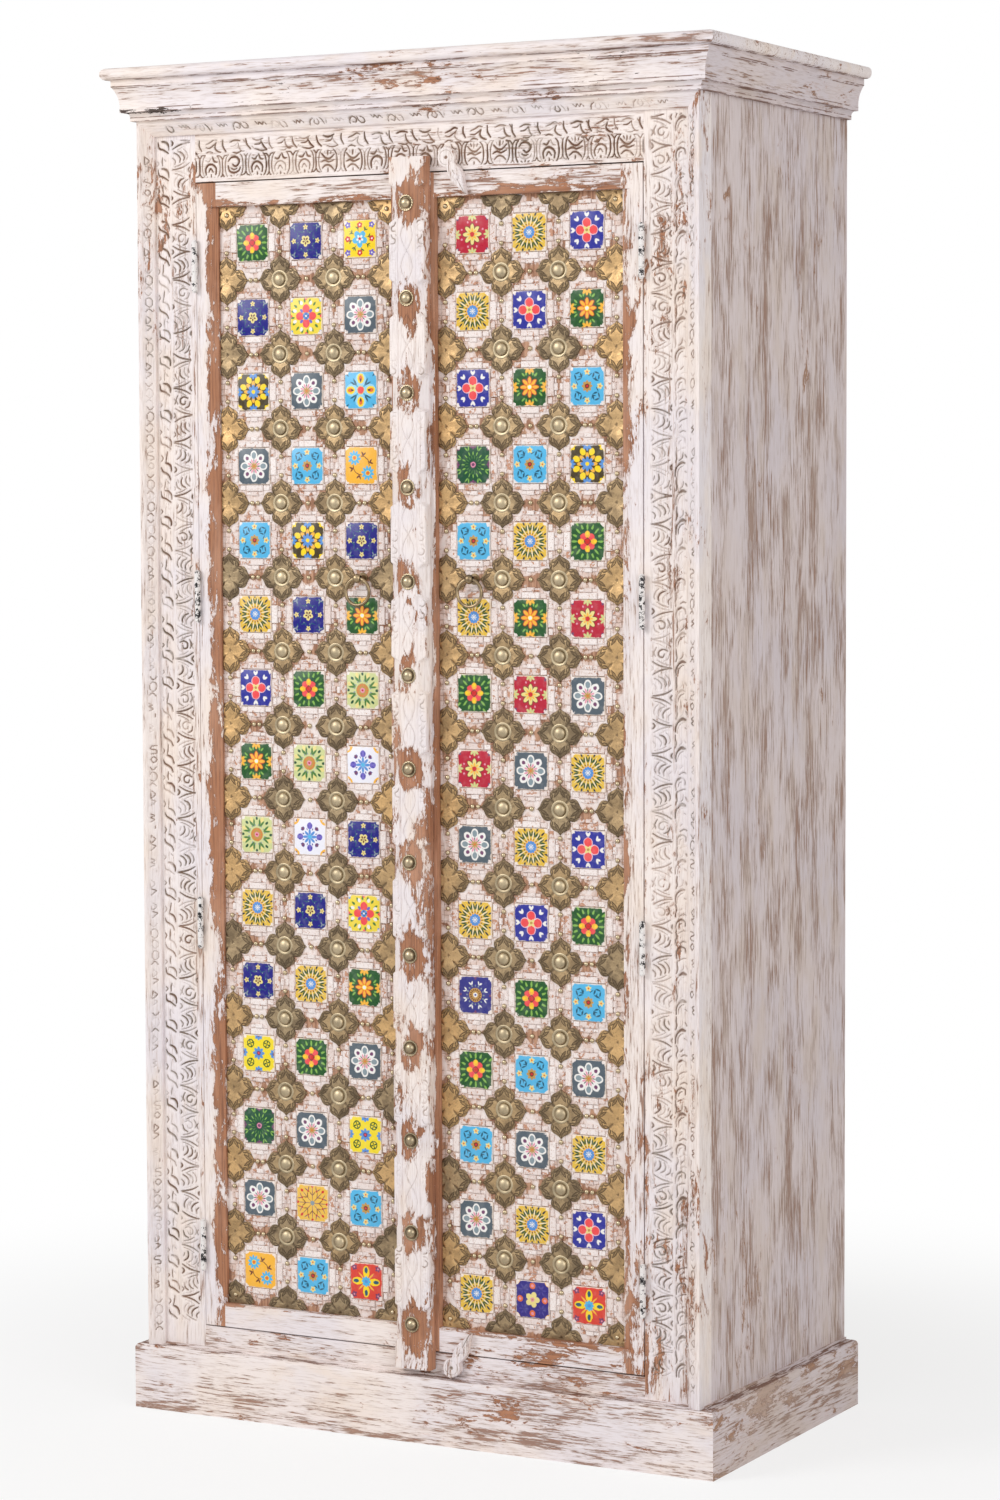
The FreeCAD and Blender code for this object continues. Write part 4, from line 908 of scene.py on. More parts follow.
DESIGNS = {
    "G1": (GREEN, [
        ("petals", LIME, "centre", 16, 0.76, 0.17, 0.055),
        ("petals", LIME, "centre", 8, 1.10, 0.14, 0.06, 0.2),
        ("petals", LIME, "corner", 3, 0.34, 0.12, 0.05),
        ("petals", PINE, "centre", 8, 0.44, 0.24, 0.20, 0.39),
        ("petals", CORAL, "centre", 4, 0.32, 0.19, 0.19, EIGHTH),
        ("petals", AMBER, "centre", 4, 0.38, 0.18, 0.15), ("petals", LEMON, "centre", 4, 0.44, 0.09, 0.08),
        ("disc", BROWN, "centre", 0.17), ("disc", RED, "centre", 0.14), ("disc", OLIVE, "corner", 0.15)]),
    "G2": (GREEN, [
        ("petals", LIME, "centre", 8, 0.74, 0.12, 0.05, 0.39, 0.09, 0.4),
        ("petals", BROWN, "centre", 8, 0.30, 0.29, 0.16), ("petals", ORANGE, "centre", 8, 0.30, 0.25, 0.12),
        ("petals", AMBER, "centre", 8, 0.35, 0.18, 0.08), ("disc", LEMON, "centre", 0.15),
        ("disc", WHITE, "centre", 0.10), ("petals", AMBER, "edge", 8, 0.19, 0.15, 0.075),
        ("disc", BROWN, "edge", 0.08), ("disc", BROWN, "corner", 0.14)]),
    "G3": (PINE, [
        ("petals", LIME, "centre", 16, 0.60, 0.10, 0.035),
        ("petals", LEAF, "centre", 16, 0.40, 0.10, 0.03, 0.2),
        ("petals", LIME, "centre", 8, 0.90, 0.12, 0.04, 0.39, 0.07, 0.4), ("disc", MAUVE, "centre", 0.17),
        ("ring", PINK, "centre", 0.12, 0.025), ("petals", MAUVE, "corner", 6, 0.17, 0.13, 0.08),
        ("petals", MAUVE, "edge", 6, 0.11, 0.09, 0.06)]),
    "N": (NAVY, [
        ("petals", TEAL, "centre", 8, 0.55, 0.16, 0.025, 0.39, 0.08, 0.9),
        ("petals", TEAL, "outer", 4, 0.20, 0.07, 0.03, 0.3),
        ("petals", CREAM, "centre", 5, 0.17, 0.145, 0.115, 0.3),
        ("petals", BROWN, "centre", 5, 0.13, 0.07, 0.05, 0.3),
        ("petals", CREAM, "floret", 5, 0.08, 0.07, 0.045), ("disc", OLIVE, "floret", 0.04),
        ("petals", HAZE, "outer", 3, 0.07, 0.08, 0.04),
        ("petals", HAZE, "centre", 8, 0.50, 0.03, 0.03, 0.2)]),
    "N2": ((52, 44, 130), [
        ("petals", (74, 66, 150), "quarter", 6, 0.20, 0.10, 0.04),
        ("petals", CREAM, "centre", 5, 0.24, 0.19, 0.16), ("disc", PINK, "centre", 0.12),
        ("disc", OLIVE, "centre", 0.06), ("disc", ORANGE, "floret", 0.17), ("disc", PINK, "floret", 0.08),
        ("disc", AMBER, "corner", 0.26), ("disc", ORANGE, "corner", 0.14)]),
    "Y1": (LEMON, [
        ("petals", GREEN, "centre", 8, 0.58, 0.16, 0.024, 0.2),
        ("petals", GREEN, "centre", 8, 0.62, 0.09, 0.035, 0.2, 0.07, 0.8),
        ("petals", SKY, "centre", 5, 0.27, 0.20, 0.17, 0.3),
        ("petals", WHITE, "centre", 5, 0.15, 0.08, 0.06, 0.3), ("disc", CRIMSON, "centre", 0.08),
        ("petals", RED, "floret", 5, 0.09, 0.08, 0.07), ("disc", WHITE, "floret", 0.05),
        ("petals", VIOLET, "outer", 5, 0.10, 0.09, 0.07), ("disc", WHITE, "outer", 0.05)]),
    "Y2": ((238, 214, 70), [
        ("petals", LEAF, "centre", 16, 0.84, 0.12, 0.06, 0.1),
        ("petals", WHITE, "centre", 8, 0.76, 0.12, 0.09, 0.39),
        ("petals", CORAL, "centre", 4, 0.38, 0.25, 0.22),
        ("petals", VIOLET, "centre", 4, 0.40, 0.12, 0.08, EIGHTH), ("disc", AZURE, "centre", 0.20),
        ("petals", INK, "centre", 4, 0.12, 0.06, 0.03), ("disc", WHITE, "centre", 0.06),
        ("petals", AZURE, "corner", 6, 0.17, 0.11, 0.08), ("petals", CORAL, "edge", 4, 0.08, 0.07, 0.06)]),
    "Y3": ((70, 58, 34), [
        ("petals", LEMON, "centre", 8, 0.68, 0.20, 0.16, 0.39),
        ("petals", LEMON, "corner", 8, 0.22, 0.14, 0.10), ("petals", AMBER, "centre", 8, 0.44, 0.16, 0.10),
        ("petals", AZURE, "centre", 8, 0.22, 0.18, 0.09), ("disc", LEMON, "centre", 0.11),
        ("petals", AZURE, "edge", 8, 0.18, 0.14, 0.07), ("disc", LEMON, "edge", 0.07)]),
    "Y4": (AMBER, [
        ("ring", BROWN, "centre", 0.50, 0.022),
        ("petals", BROWN, "centre", 6, 0.62, 0.13, 0.045, 0.3, 0.05, 0.6), ("disc", AMBER, "twin", 0.40),
        ("petals", SKY, "twin", 10, 0.24, 0.16, 0.075), ("disc", LEMON, "twin", 0.14),
        ("disc", ORANGE, "twin", 0.10), ("disc", MAUVE, "corner", 0.10)]),
    "Y5": ((242, 218, 44), [
        ("ring", GREEN, "quarter", 0.20, 0.03), ("petals", GREEN, "quarter", 4, 0.12, 0.12, 0.035, 0.4),
        ("petals", AZURE, "centre", 8, 0.22, 0.15, 0.09), ("disc", MAUVE, "centre", 0.13),
        ("disc", CORAL, "centre", 0.06), ("petals", AZURE, "edge", 8, 0.17, 0.12, 0.08),
        ("disc", MAUVE, "edge", 0.10)]),
    "Y6": ((236, 190, 80), [
        ("petals", MAUVE, "centre", 8, 0.50, 0.44, 0.020),
        ("petals", BROWN, "centre", 8, 0.52, 0.15, 0.025, 0, 0.09, 0.7),
        ("petals", MAUVE, "centre", 8, 0.82, 0.13, 0.025, 0.39, 0.08, 0.6),
        ("petals", RED, "centre", 8, 0.94, 0.09, 0.07),
        ("petals", CRIMSON, "centre", 8, 0.70, 0.06, 0.05, 0.39), ("disc", HAZE, "centre", 0.13)]),
    "S": (SLATE, [
        ("petals", WHITE, "centre", 8, 0.58, 0.27, 0.215), ("disc", WHITE, "centre", 0.46),
        ("petals", HAZE, "centre", 4, 0.58, 0.18, 0.14),
        ("petals", MAUVE, "centre", 4, 0.60, 0.11, 0.10, EIGHTH),
        ("petals", PINK, "centre", 8, 0.29, 0.12, 0.05, 0.39),
        ("petals", INK, "centre", 8, 0.30, 0.09, 0.03), ("petals", OLIVE, "centre", 8, 0.12, 0.12, 0.05),
        ("disc", ORANGE, "centre", 0.05), ("disc", WHITE, "corner", 0.12)]),
    "B1": (SKY, [
        ("petals", (150, 212, 238), "centre", 4, 0.56, 0.36, 0.33),
        ("petals", TEAL, "centre", 4, 0.56, 0.20, 0.05, EIGHTH, 0.07, 0.3),
        ("petals", LEMON, "centre", 4, 0.62, 0.27, 0.21), ("petals", ORANGE, "centre", 4, 0.63, 0.16, 0.11),
        ("petals", INK, "centre", 4, 0.52, 0.10, 0.05), ("disc", CORAL, "centre", 0.20),
        ("petals", LEMON, "centre", 12, 0.22, 0.035, 0.03),
        ("petals", TEAL, "corner", 4, 0.22, 0.15, 0.045, EIGHTH)]),
    "B2": (SKY, [
        ("petals", TEAL, "quarter", 4, 0.17, 0.045, 0.14, 0.3),
        ("petals", TEAL, "centre", 8, 0.62, 0.12, 0.03, 0.2, 0.06, 0.8),
        ("petals", TEAL, "corner", 3, 0.22, 0.13, 0.045), ("petals", OLIVE, "centre", 8, 0.18, 0.13, 0.085),
        ("disc", BROWN, "centre", 0.13), ("disc", RED, "centre", 0.07),
        ("petals", CREAM, "floret", 5, 0.09, 0.08, 0.055), ("disc", ORANGE, "floret", 0.05)]),
    "R": ((228, 188, 70), [
        ("petals", PINE, "centre", 16, 0.70, 0.16, 0.045, 0, 0.055, 0.25),
        ("petals", WHITE, "centre", 16, 0.66, 0.24, 0.020, 0.196),
        ("petals", INK, "centre", 16, 1.00, 0.13, 0.05), ("scallop", AMBER, "centre", 0.42, 16),
        ("petals", BROWN, "centre", 16, 0.42, 0.05, 0.03), ("scallop", AZURE, "centre", 0.34, 12),
        ("petals", WHITE, "centre", 8, 0.12, 0.05, 0.025), ("disc", WHITE, "centre", 0.06)]),
    "P": (ROYAL, [
        ("petals", (240, 196, 208), "centre", 4, 0.36, 0.28, 0.27),
        ("petals", CORAL, "centre", 4, 0.38, 0.235, 0.225),
        ("petals", CREAM, "centre", 4, 0.13, 0.12, 0.08, EIGHTH), ("disc", OLIVE, "centre", 0.08),
        ("petals", WHITE, "centre", 8, 0.80, 0.13, 0.065, 0, 0.05, 0.5),
        ("petals", CREAM, "corner", 4, 0.12, 0.09, 0.05, EIGHTH)]),
    "P2": ((54, 54, 132), [
        ("petals", WHITE, "centre", 8, 0.66, 0.10, 0.04, 0.39, 0.06, 0.5),
        ("petals", HAZE, "centre", 16, 0.50, 0.05, 0.04), ("disc", OLIVE, "centre", 0.38),
        ("petals", BROWN, "centre", 16, 0.28, 0.06, 0.03), ("disc", WHITE, "centre", 0.13),
        ("disc", ROYAL, "centre", 0.06), ("petals", WHITE, "corner", 5, 0.16, 0.09, 0.05),
        ("petals", MAUVE, "edge", 4, 0.10, 0.08, 0.06)]),
    "L": ((206, 212, 150), [
        ("petals", CREAM, "centre", 8, 0.86, 0.16, 0.10, 0.39),
        ("petals", LEAF, "centre", 8, 0.66, 0.21, 0.06, 0.39, 0.08, 0.35),
        ("petals", PINE, "centre", 8, 0.90, 0.11, 0.07),
        ("petals", HAZE, "centre", 16, 0.52, 0.06, 0.03, 0.2), ("disc", OLIVE, "centre", 0.38),
        ("petals", ORANGE, "centre", 16, 0.30, 0.05, 0.03), ("disc", PINK, "centre", 0.14),
        ("disc", CRIMSON, "centre", 0.06)]),
    "W": ((236, 236, 246), [
        ("petals", VIOLET, "centre", 4, 0.60, 0.19, 0.17),
        ("petals", MAUVE, "centre", 4, 0.62, 0.11, 0.10, EIGHTH),
        ("petals", AZURE, "centre", 8, 0.26, 0.17, 0.075),
        ("petals", ROYAL, "centre", 8, 0.44, 0.06, 0.03, 0.39), ("disc", SKY, "centre", 0.12),
        ("disc", AMBER, "corner", 0.36), ("petals", MAUVE, "corner", 4, 0.16, 0.10, 0.08, EIGHTH),
        ("petals", ROYAL, "centre", 8, 0.62, 0.07, 0.025, 0, 0.10, 0.3)]),
    "D1": (CRIMSON, [
        ("petals", PINK, "centre", 8, 0.68, 0.06, 0.05, 0.39),
        ("petals", BROWN, "centre", 8, 0.33, 0.26, 0.15), ("petals", CREAM, "centre", 8, 0.33, 0.22, 0.11),
        ("petals", AMBER, "centre", 8, 0.22, 0.10, 0.05), ("disc", RED, "centre", 0.13),
        ("petals", (206, 208, 140), "edge", 8, 0.18, 0.14, 0.065), ("disc", AMBER, "edge", 0.07),
        ("petals", MAUVE, "corner", 6, 0.20, 0.13, 0.08)]),
    "D2": ((216, 68, 54), [
        ("petals", AMBER, "centre", 4, 0.34, 0.30, 0.05, EIGHTH),
        ("petals", LEMON, "centre", 4, 0.52, 0.34, 0.20), ("petals", TEAL, "centre", 4, 0.62, 0.17, 0.10),
        ("petals", SKY, "centre", 8, 0.14, 0.15, 0.09), ("disc", AZURE, "centre", 0.10),
        ("petals", MAUVE, "outer", 5, 0.10, 0.08, 0.06), ("disc", PINK, "outer", 0.05)]),
}
LEFT_ORDER = ("G1 N Y1|N Y2 S|Y3 S B1|S B2 Y4|B2 Y3 N|R N G2|P G1 L|G2 L W|L W N|R N Y2|N R G2|Y5 G1 S|"
              "G3 S Y5|S Y6 B2|Y4 B2 D2")
RIGHT_ORDER = ("D1 R P|R P G2|P G2 B2|G3 B2 Y3|B2 R G1|R G2 D1|G1 D1 S|D1 S R|S R P|R P G1|P2 G1 B2|G1 B2 S|"
               "B2 S R|S R P|R N2 D2")


def tile_material(design):
    """Glazed tile in one of the designs: a ground, then layers of shapes over it."""
    ground, layers = DESIGNS[design]
    material, t = new_material("glazed_tile_" + design, Tile)
    shade = linear(*ground)
    for kind, paint, *settings in layers:
        shade = t.mix(getattr(t, kind)(*settings), shade, linear(*paint))
    cloud = t.noise(t.add("ShaderNodeTexCoord", output="Object"), 120.0, 3.0)
    shade = t.mix(cloud.rise(0.45, 0.75) * 0.06, shade, linear(*WHITE))
    corner = t.polar("corner")[0]
    corner = corner + (t.noise(t.add("ShaderNodeTexCoord", output="Object"), 260.0) - 0.5) * 0.35
    shade = t.mix(corner.rise(0.245, 0.205) * 0.92, shade, tint("paint"))
    rim = abs(t.u).high(abs(t.v))
    shade = t.mix((rim + cloud * 0.12).rise(1.0, 1.04) * 0.8, shade, tint("paint_warm"))
    t.finish(shade, cloud * 0.10 + 0.24, t.bump(cloud, 0.0002, 0.3), 0.0, **{"Specular IOR Level": 0.3})
    return material


# Layout of the doors' panels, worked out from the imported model


class Layout:
    """Places on the right door's panel in millimetres."""

    def __init__(self):
        s = sizes()
        self.tile = s.tile / MM
        low, high = node_box("right_tiles")
        self.first_x, self.first_z = low[0] + self.tile / 2, low[2] + self.tile / 2
        self.pitch_x = (high[0] - low[0] - self.tile) / (s.columns - 1)
        self.pitch_z = (high[2] - low[2] - self.tile) / (s.rows - 1)
        self.columns, self.rows = s.columns, s.rows
        self.face = node_box("right_stepped_blocks")[1][1]
        flowers_low, flowers_high = node_box("right_brass_flowers")
        self.window = (flowers_low[0], flowers_high[0], flowers_low[2], flowers_high[2])

    def places(self, rows, columns, before):
        row, column = np.meshgrid(np.arange(rows), np.arange(columns), indexing="ij")
        x = self.first_x + (column - before) * self.pitch_x
        z = self.first_z + (row - before) * self.pitch_z
        return np.stack([x, z, row, column], -1).reshape(-1, 4)

    def tiles(self):
        """Tile middles as (x, z, row, column), rows counted from the bottom."""
        return self.places(self.rows, self.columns, 0)

    def flowers(self):
        """Flower middles as (x, z, row, column)."""
        return self.places(self.rows + 1, self.columns + 1, 0.5)

    def whole(self):
        flowers = self.flowers()
        row, column = flowers[:, 2], flowers[:, 3]
        return flowers[(row > 0) & (row < self.rows) & (column > 0) & (column < self.columns)]


# Pieces


def finish_nodes(material, *names):
    """Gives CAD nodes a material of this scene."""
    for name in names:
        for slot in frame["nodes"][name].material_slots:
            slot.material = material


def both(stem):
    return "left_" + stem, "right_" + stem


class StageOperator(bpy.types.Operator):
    """Camera, soft light, and a pale floor that keeps the shadow"""
    bl_idname = "cabinet.stage"
    bl_label = "Stage"

    def execute(self, context):
        scene = context.scene
        scene.view_settings.view_transform = "Standard"
        yaw, pitch, roll = (math.radians(v) for v in (28.268, 3.906, -0.217))
        right = Vector((math.cos(yaw), math.sin(yaw), 0))
        ahead = Vector((-math.sin(yaw) * math.cos(pitch), math.cos(yaw) * math.cos(pitch), -math.sin(pitch)))
        up = right.cross(ahead)
        x_axis = right * math.cos(roll) + up * math.sin(roll)
        y_axis = up * math.cos(roll) - right * math.sin(roll)
        camera = bpy.data.cameras.new("camera")
        camera.sensor_fit, camera.sensor_height, camera.lens = "VERTICAL", 36.0, 92.549
        camera.clip_end = 100.0
        eye = add_object("camera", camera)
        turn = Matrix((x_axis, y_axis, -ahead)).transposed().to_4x4()
        eye.matrix_world = Matrix.Translation((2.5243, -4.6612, 1.2808)) @ turn
        scene.camera = eye
        self.lamps()
        self.world(scene)
        self.floor()
        return {"FINISHED"}

    def lamps(self):
        for name, place, aim, size, power in (("key", (-2.6, -3.6, 3.2), (0, -0.2, 0.95), 2.2, 106.0),
                                              ("fill", (3.6, -2.6, 2.2), (0.3, 0, 0.9), 3.0, 62.0)):
            lamp = bpy.data.lights.new(name, "AREA")
            lamp.shape, lamp.size, lamp.energy = "SQUARE", size, power
            holder = add_object(name, lamp)
            direction = Vector(aim) - Vector(place)
            holder.matrix_world = (Matrix.Translation(place)
                                   @ direction.to_track_quat("-Z", "Y").to_matrix().to_4x4())

    def world(self, scene):
        world = bpy.data.worlds.new("studio")
        scene.world = world
        n = Nodes(world)
        seen = [n.number("ShaderNodeLightPath", output=name)
                for name in ("Is Camera Ray", "Is Glossy Ray", "Is Transmission Ray")]
        light = n.add("ShaderNodeBackground", {"Color": (1.0, 0.99, 0.98, 1.0), "Strength": 0.50})
        white = n.add("ShaderNodeBackground", {"Color": (1.0, 1.0, 1.0, 1.0), "Strength": 1.0})
        plain = functools.reduce(Number.high, seen)
        n.add_output(n.add("ShaderNodeMixShader", {0: plain, 1: light, 2: white}), "ShaderNodeOutputWorld")

    def floor(self):
        material, n = new_material("floor")
        x, y, z = n.place()
        away = ((x * x + y * y) ** 0.5).rise(0.6, 1.7)
        seen = n.number("ShaderNodeLightPath", output="Is Camera Ray")
        matt = n.add("ShaderNodeBsdfDiffuse", {"Color": (0.93, 0.93, 0.93, 1.0)})
        glow = n.add("ShaderNodeEmission", {"Color": (1.0, 1.0, 1.0, 1.0), "Strength": 1.0})
        n.add_output(n.add("ShaderNodeMixShader", {0: seen * (away * 0.30 + 0.70), 1: matt, 2: glow}))
        mesh = bpy.data.meshes.new("floor")
        reach = 14.0
        mesh.from_pydata([(-reach, -reach, 0), (reach, -reach, 0), (reach, reach, 0), (-reach, reach, 0)], [],
                         [(0, 1, 2, 3)])
        mesh.materials.append(material)
        floor = add_object("floor", mesh)


class CarcassOperator(bpy.types.Operator):
    """Side boards, cornice, plinth, back and shelves"""
    bl_idname = "cabinet.carcass"
    bl_label = "Carcass"

    def execute(self, context):
        # The side boards' paint holds painted shade of the cabinet's sides.
        boards = painted("shaded_side_paint", "z", -0.3, 1.15, base="shaded_side_paint", run=0.04, fine=1.6, clumps=12.0)
        finish_nodes(boards, *both("side_panel"))
        crown_low = node_box("crown_front")[0]

        def corner_chips(x, y, z):
            """Thick at the left corner and thinning out to the right, along the lowest fillet."""
            left = (x / MM).rise(-270, -430)
            return left * abs(z / MM - (crown_low[2] + 12.5)).rise(6.0, 1.5)

        height = node_box("crown_front")[1][2] - crown_low[2]
        levels = [crown_low[2] + share * height for share in (0.005, 0.09, 0.21, 0.30, 0.80, 0.84, 1.0)]
        bead = [node_box("plinth_front")[1][2] - 3]
        finish_nodes(painted("cornice_paint", "x", 0.30, 0.30, dark=corner_chips, creases=levels),
                     "crown_front", "cornice_cap")
        # The crown's returns take the side paint, with its painted shade.
        finish_nodes(painted("cornice_side_paint", "y", 0.2, 0.5, base="shaded_side_paint", creases=levels),
                     *both("crown"))
        finish_nodes(painted("plinth_paint", "x", 0.70, 1.2, creases=bead, fine=1.4, clumps=12.0),
                     "plinth_front", "frame_bottom_rail")
        # The plinth's returns take the side paint, with its painted shade.
        returns = painted("plinth_side_paint", "y", 0.4, 1.2, base="shaded_side_paint", creases=bead, clumps=12.0)
        finish_nodes(returns, *both("plinth"))
        finish_nodes(bare_wood("back_boards", "z"), "back_panel")
        finish_nodes(bare_wood("inner_boards", "x"), "floor_board", "top_board", "shelf_1", "shelf_2",
                     "shelf_3", "shelf_battens", "glue_blocks", "door_stops", "plinth_back")
        return {"FINISHED"}


class CarvedStilesOperator(bpy.types.Operator):
    """The face frame's stiles, with a vine and a leaf rope cut into them"""
    bl_idname = "cabinet.carved_stiles"
    bl_label = "Carved stiles"

    def execute(self, context):
        s = sizes()
        low, high = node_box("right_frame_stile")
        moulding_in = node_box("right_frame_moulding")[0][0]
        rail_low = node_box("frame_top_rail")[0][2]
        top = node_box("top_frame_moulding")[0][2]
        foot = node_box("frame_bottom_rail")[1][2]
        step = s.carving_step / MM
        vine_x, rope_x = low[0] + 8.5, moulding_in - ROPE_WIDTH - 1.5
        x = np.concatenate([steps(low[0], moulding_in, step), [high[0]]])
        z = np.concatenate([[low[2]], steps(foot - 10, top + 2, step), [high[2]]])
        grid_x, grid_z = np.meshgrid(x, z, indexing="ij")
        for side, name in SIDES:
            up = grid_z - foot
            vine = band(grid_x - vine_x, up, VINE_WIDTH, s.vine_pitch / MM, VINE, 11 + side, flip=True)
            motifs, pitch = (ROPE, s.rope_pitch / MM) if side > 0 else (HOOK, HOOK_PITCH)
            rope = band(grid_x - rope_x, up, ROPE_WIDTH, pitch, motifs, 21 + side)
            inside = (grid_z > foot + 4) & (grid_z < top - 6)
            depth = np.maximum(vine, rope) * inside

            def patches(px, py, pz, side=side):
                """Bare places by the door's upper corner and along the opening's edge."""
                upper = (pz / MM).rise(rail_low - 190, rail_low - 60)
                upper = upper * (pz / MM).rise(rail_low + 40, rail_low)
                edge = abs(px / MM).rise(low[0] + 9, low[0]) * 1.1
                return upper * (1.5 if side < 0 else 0.4) + edge

            shell = Shell()
            shell.relief(carved_face(grid_x, grid_z, low[1], depth, 31 + side), high[1], depth)
            carved = 0.75 if side > 0 else 1.0
            material = painted(name + "_stile_paint", "z", 0.15, 0.10, patches, carved=carved)
            shell.build(name + "_carved_stile", [material], "carcass", [name + "_frame_stile"],
                        "painted_wood", mirror=side < 0)
        return {"FINISHED"}


class CarvedRailOperator(bpy.types.Operator):
    """The rail over the doors, with a row of strokes above a row of fans"""
    bl_idname = "cabinet.carved_rail"
    bl_label = "Carved rail"

    def execute(self, context):
        low, high = node_box("frame_top_rail")
        top = node_box("top_frame_moulding")[0][2]
        step = sizes().carving_step / MM
        x = steps(low[0], high[0], step)
        z = np.concatenate([steps(low[2], top + 1, step), [high[2]]])
        grid_x, grid_z = np.meshgrid(x, z, indexing="ij")
        fans = band(grid_z - (low[2] + 4.5), grid_x, FAN_HEIGHT, FAN_PITCH, turned(FANS), 41)
        strokes = band(grid_z - (low[2] + 35.0), grid_x, STROKE_HEIGHT, STROKE_PITCH, turned(STROKES), 42)
        depth = np.maximum(fans, strokes)

        def patches(px, py, pz):
            """Bare wood over the astragal's top and along the lower edge."""
            middle = abs(px / MM + 10).rise(70, 20) * 1.8
            lower = (pz / MM).rise(low[2] + 7, low[2] + 1) * 1.0
            return middle + lower

        shell = Shell()
        shell.relief(carved_face(grid_x, grid_z, low[1], depth, 43), high[1], depth)
        # carved=1.5 darkens the rail's grooves more than elsewhere. This is partly dirt and partly the
        # painted shadow that the cornice casts on the rail.
        material = painted("top_rail_paint", "x", 0.2, 0.4, patches, carved=1.5)
        shell.build("carved_top_rail", [material], "carcass", ["frame_top_rail"], "painted_wood")
        return {"FINISHED"}


class MouldingsOperator(bpy.types.Operator):
    """The chamfered mouldings round the face frame, lightly carved"""
    bl_idname = "cabinet.mouldings"
    bl_label = "Frame mouldings"

    def section(self, width, proud, step):
        """Inset from the outer edge and height over the frame's face, round the closed section."""
        lip, inner = 4.5, 4.0  # the flat outer edge's width, and the height at the opening
        run = math.hypot(width - lip, proud - inner)
        slope = np.linspace(0, 1, max(3, round(run / step)))
        inset = np.concatenate([[0, 0], lip + (width - lip) * slope, [width]])
        high = np.concatenate([[0, proud], proud + (inner - proud) * slope, [0]])
        on_slope = np.concatenate([[-1, -1], slope * run, [-1]])
        return inset, high, on_slope

    def execute(self, context):
        s = sizes()
        step = s.carving_step / MM * 1.15
        low, high = node_box("right_frame_moulding")
        width, proud = high[0] - low[0], high[1] - low[1]
        inset, rise, on_slope = self.section(width, proud, step)
        for side, name in SIDES:
            t = np.linspace(0, 1, round((high[2] - low[2]) / step))
            z = low[2] + (high[2] - inset[:, None] - low[2]) * t[None]
            across = np.broadcast_to(on_slope[:, None] - 2.5, z.shape)
            depth = band(across, z, LEAF_WIDTH, LEAF_PITCH, LEAVES, 51 + side)
            depth = depth * ((z < high[2] - 30) & (z > low[2] + 20))
            sink = depth * s.carving_depth / MM * 0.8
            x = high[0] - inset[:, None] + 0 * z
            y = np.minimum(high[1] - rise[:, None] + sink, high[1])
            shell = Shell()
            shell.tube(np.stack([x, y, z], -1), depth)

            def faded(px, py, pz, side=side):
                return (pz / MM).rise(1450, 1600) * (0.8 if side < 0 else 0.0)

            material = painted(name + "_moulding_paint", "z", 0.1, 0.3, faded, carved=0.9)
            shell.build(name + "_carved_moulding", [material], "carcass", [name + "_frame_moulding"],
                        "painted_wood", mirror=side < 0)
        self.top(s, step, inset, rise, on_slope)
        return {"FINISHED"}

    def top(self, s, step, inset, rise, on_slope):
        low, high = node_box("top_frame_moulding")
        t = np.linspace(-1, 1, round((high[0] - low[0]) / step))
        x = (high[0] - inset[:, None]) * t[None]
        z = high[2] - inset[:, None] + 0 * x
        across = np.broadcast_to(on_slope[:, None] - 2.0, x.shape)
        depth = band(across, x, SPRIG_WIDTH, SPRIG_PITCH, SPRIGS, 55) * (np.abs(x) < high[0] - 45)
        y = np.minimum(high[1] - rise[:, None] + depth * s.carving_depth / MM * 0.8, high[1])
        shell = Shell()
        shell.tube(np.stack([x, y, z], -1), depth)
        material = painted("top_moulding_paint", "x", 0.3, 0.4, carved=1.0)
        shell.build("top_carved_moulding", [material], "carcass", ["top_frame_moulding"], "painted_wood")


class DoorFramesOperator(bpy.types.Operator):
    """Worn paint on the doors' stiles and rails, bare beside the panel"""
    bl_idname = "cabinet.door_frames"
    bl_label = "Door frames"

    def execute(self, context):
        layout = Layout()
        inner_x, outer_x, panel_foot, panel_top = layout.window

        def hinge_side(x, y, z):
            right = abs(x / MM).rise(outer_x + 21, outer_x + 4) * 1.6
            left = (-x / MM).rise(outer_x + 27, outer_x + 8) * (-x / MM).rise(outer_x - 5, outer_x) * 3.2
            beside = right.high(left)
            upper_left = x.rise(-0.305, -0.325) * z.rise(1.655, 1.680)
            return beside + upper_left * 3.0

        def meeting_side(x, y, z):
            wall = (y / MM).rise(layout.face - 10.7, layout.face - 9.5)
            return wall * 4.0 + abs(x / MM).rise(inner_x - 9, inner_x - 2) * 2.4

        def upper_rail(x, y, z):
            return (z / MM).rise(panel_top + 16, panel_top + 3) * 2.2

        def lower_rail(x, y, z):
            return (z / MM).rise(panel_foot - 9, panel_foot - 2) * 1.9

        finish_nodes(painted("hinge_stile_paint", "z", 0.50, 0.45, hinge_side), *both("door_hinge_stile"))
        finish_nodes(painted("meeting_stile_paint", "z", 0.5, 0.5, meeting_side), *both("door_meeting_stile"))
        finish_nodes(painted("door_top_rail_paint", "x", 0.6, 1.25, upper_rail), *both("door_top_rail"))
        finish_nodes(painted("door_bottom_rail_paint", "x", 0.35, 0.6, lower_rail), *both("door_bottom_rail"))
        return {"FINISHED"}


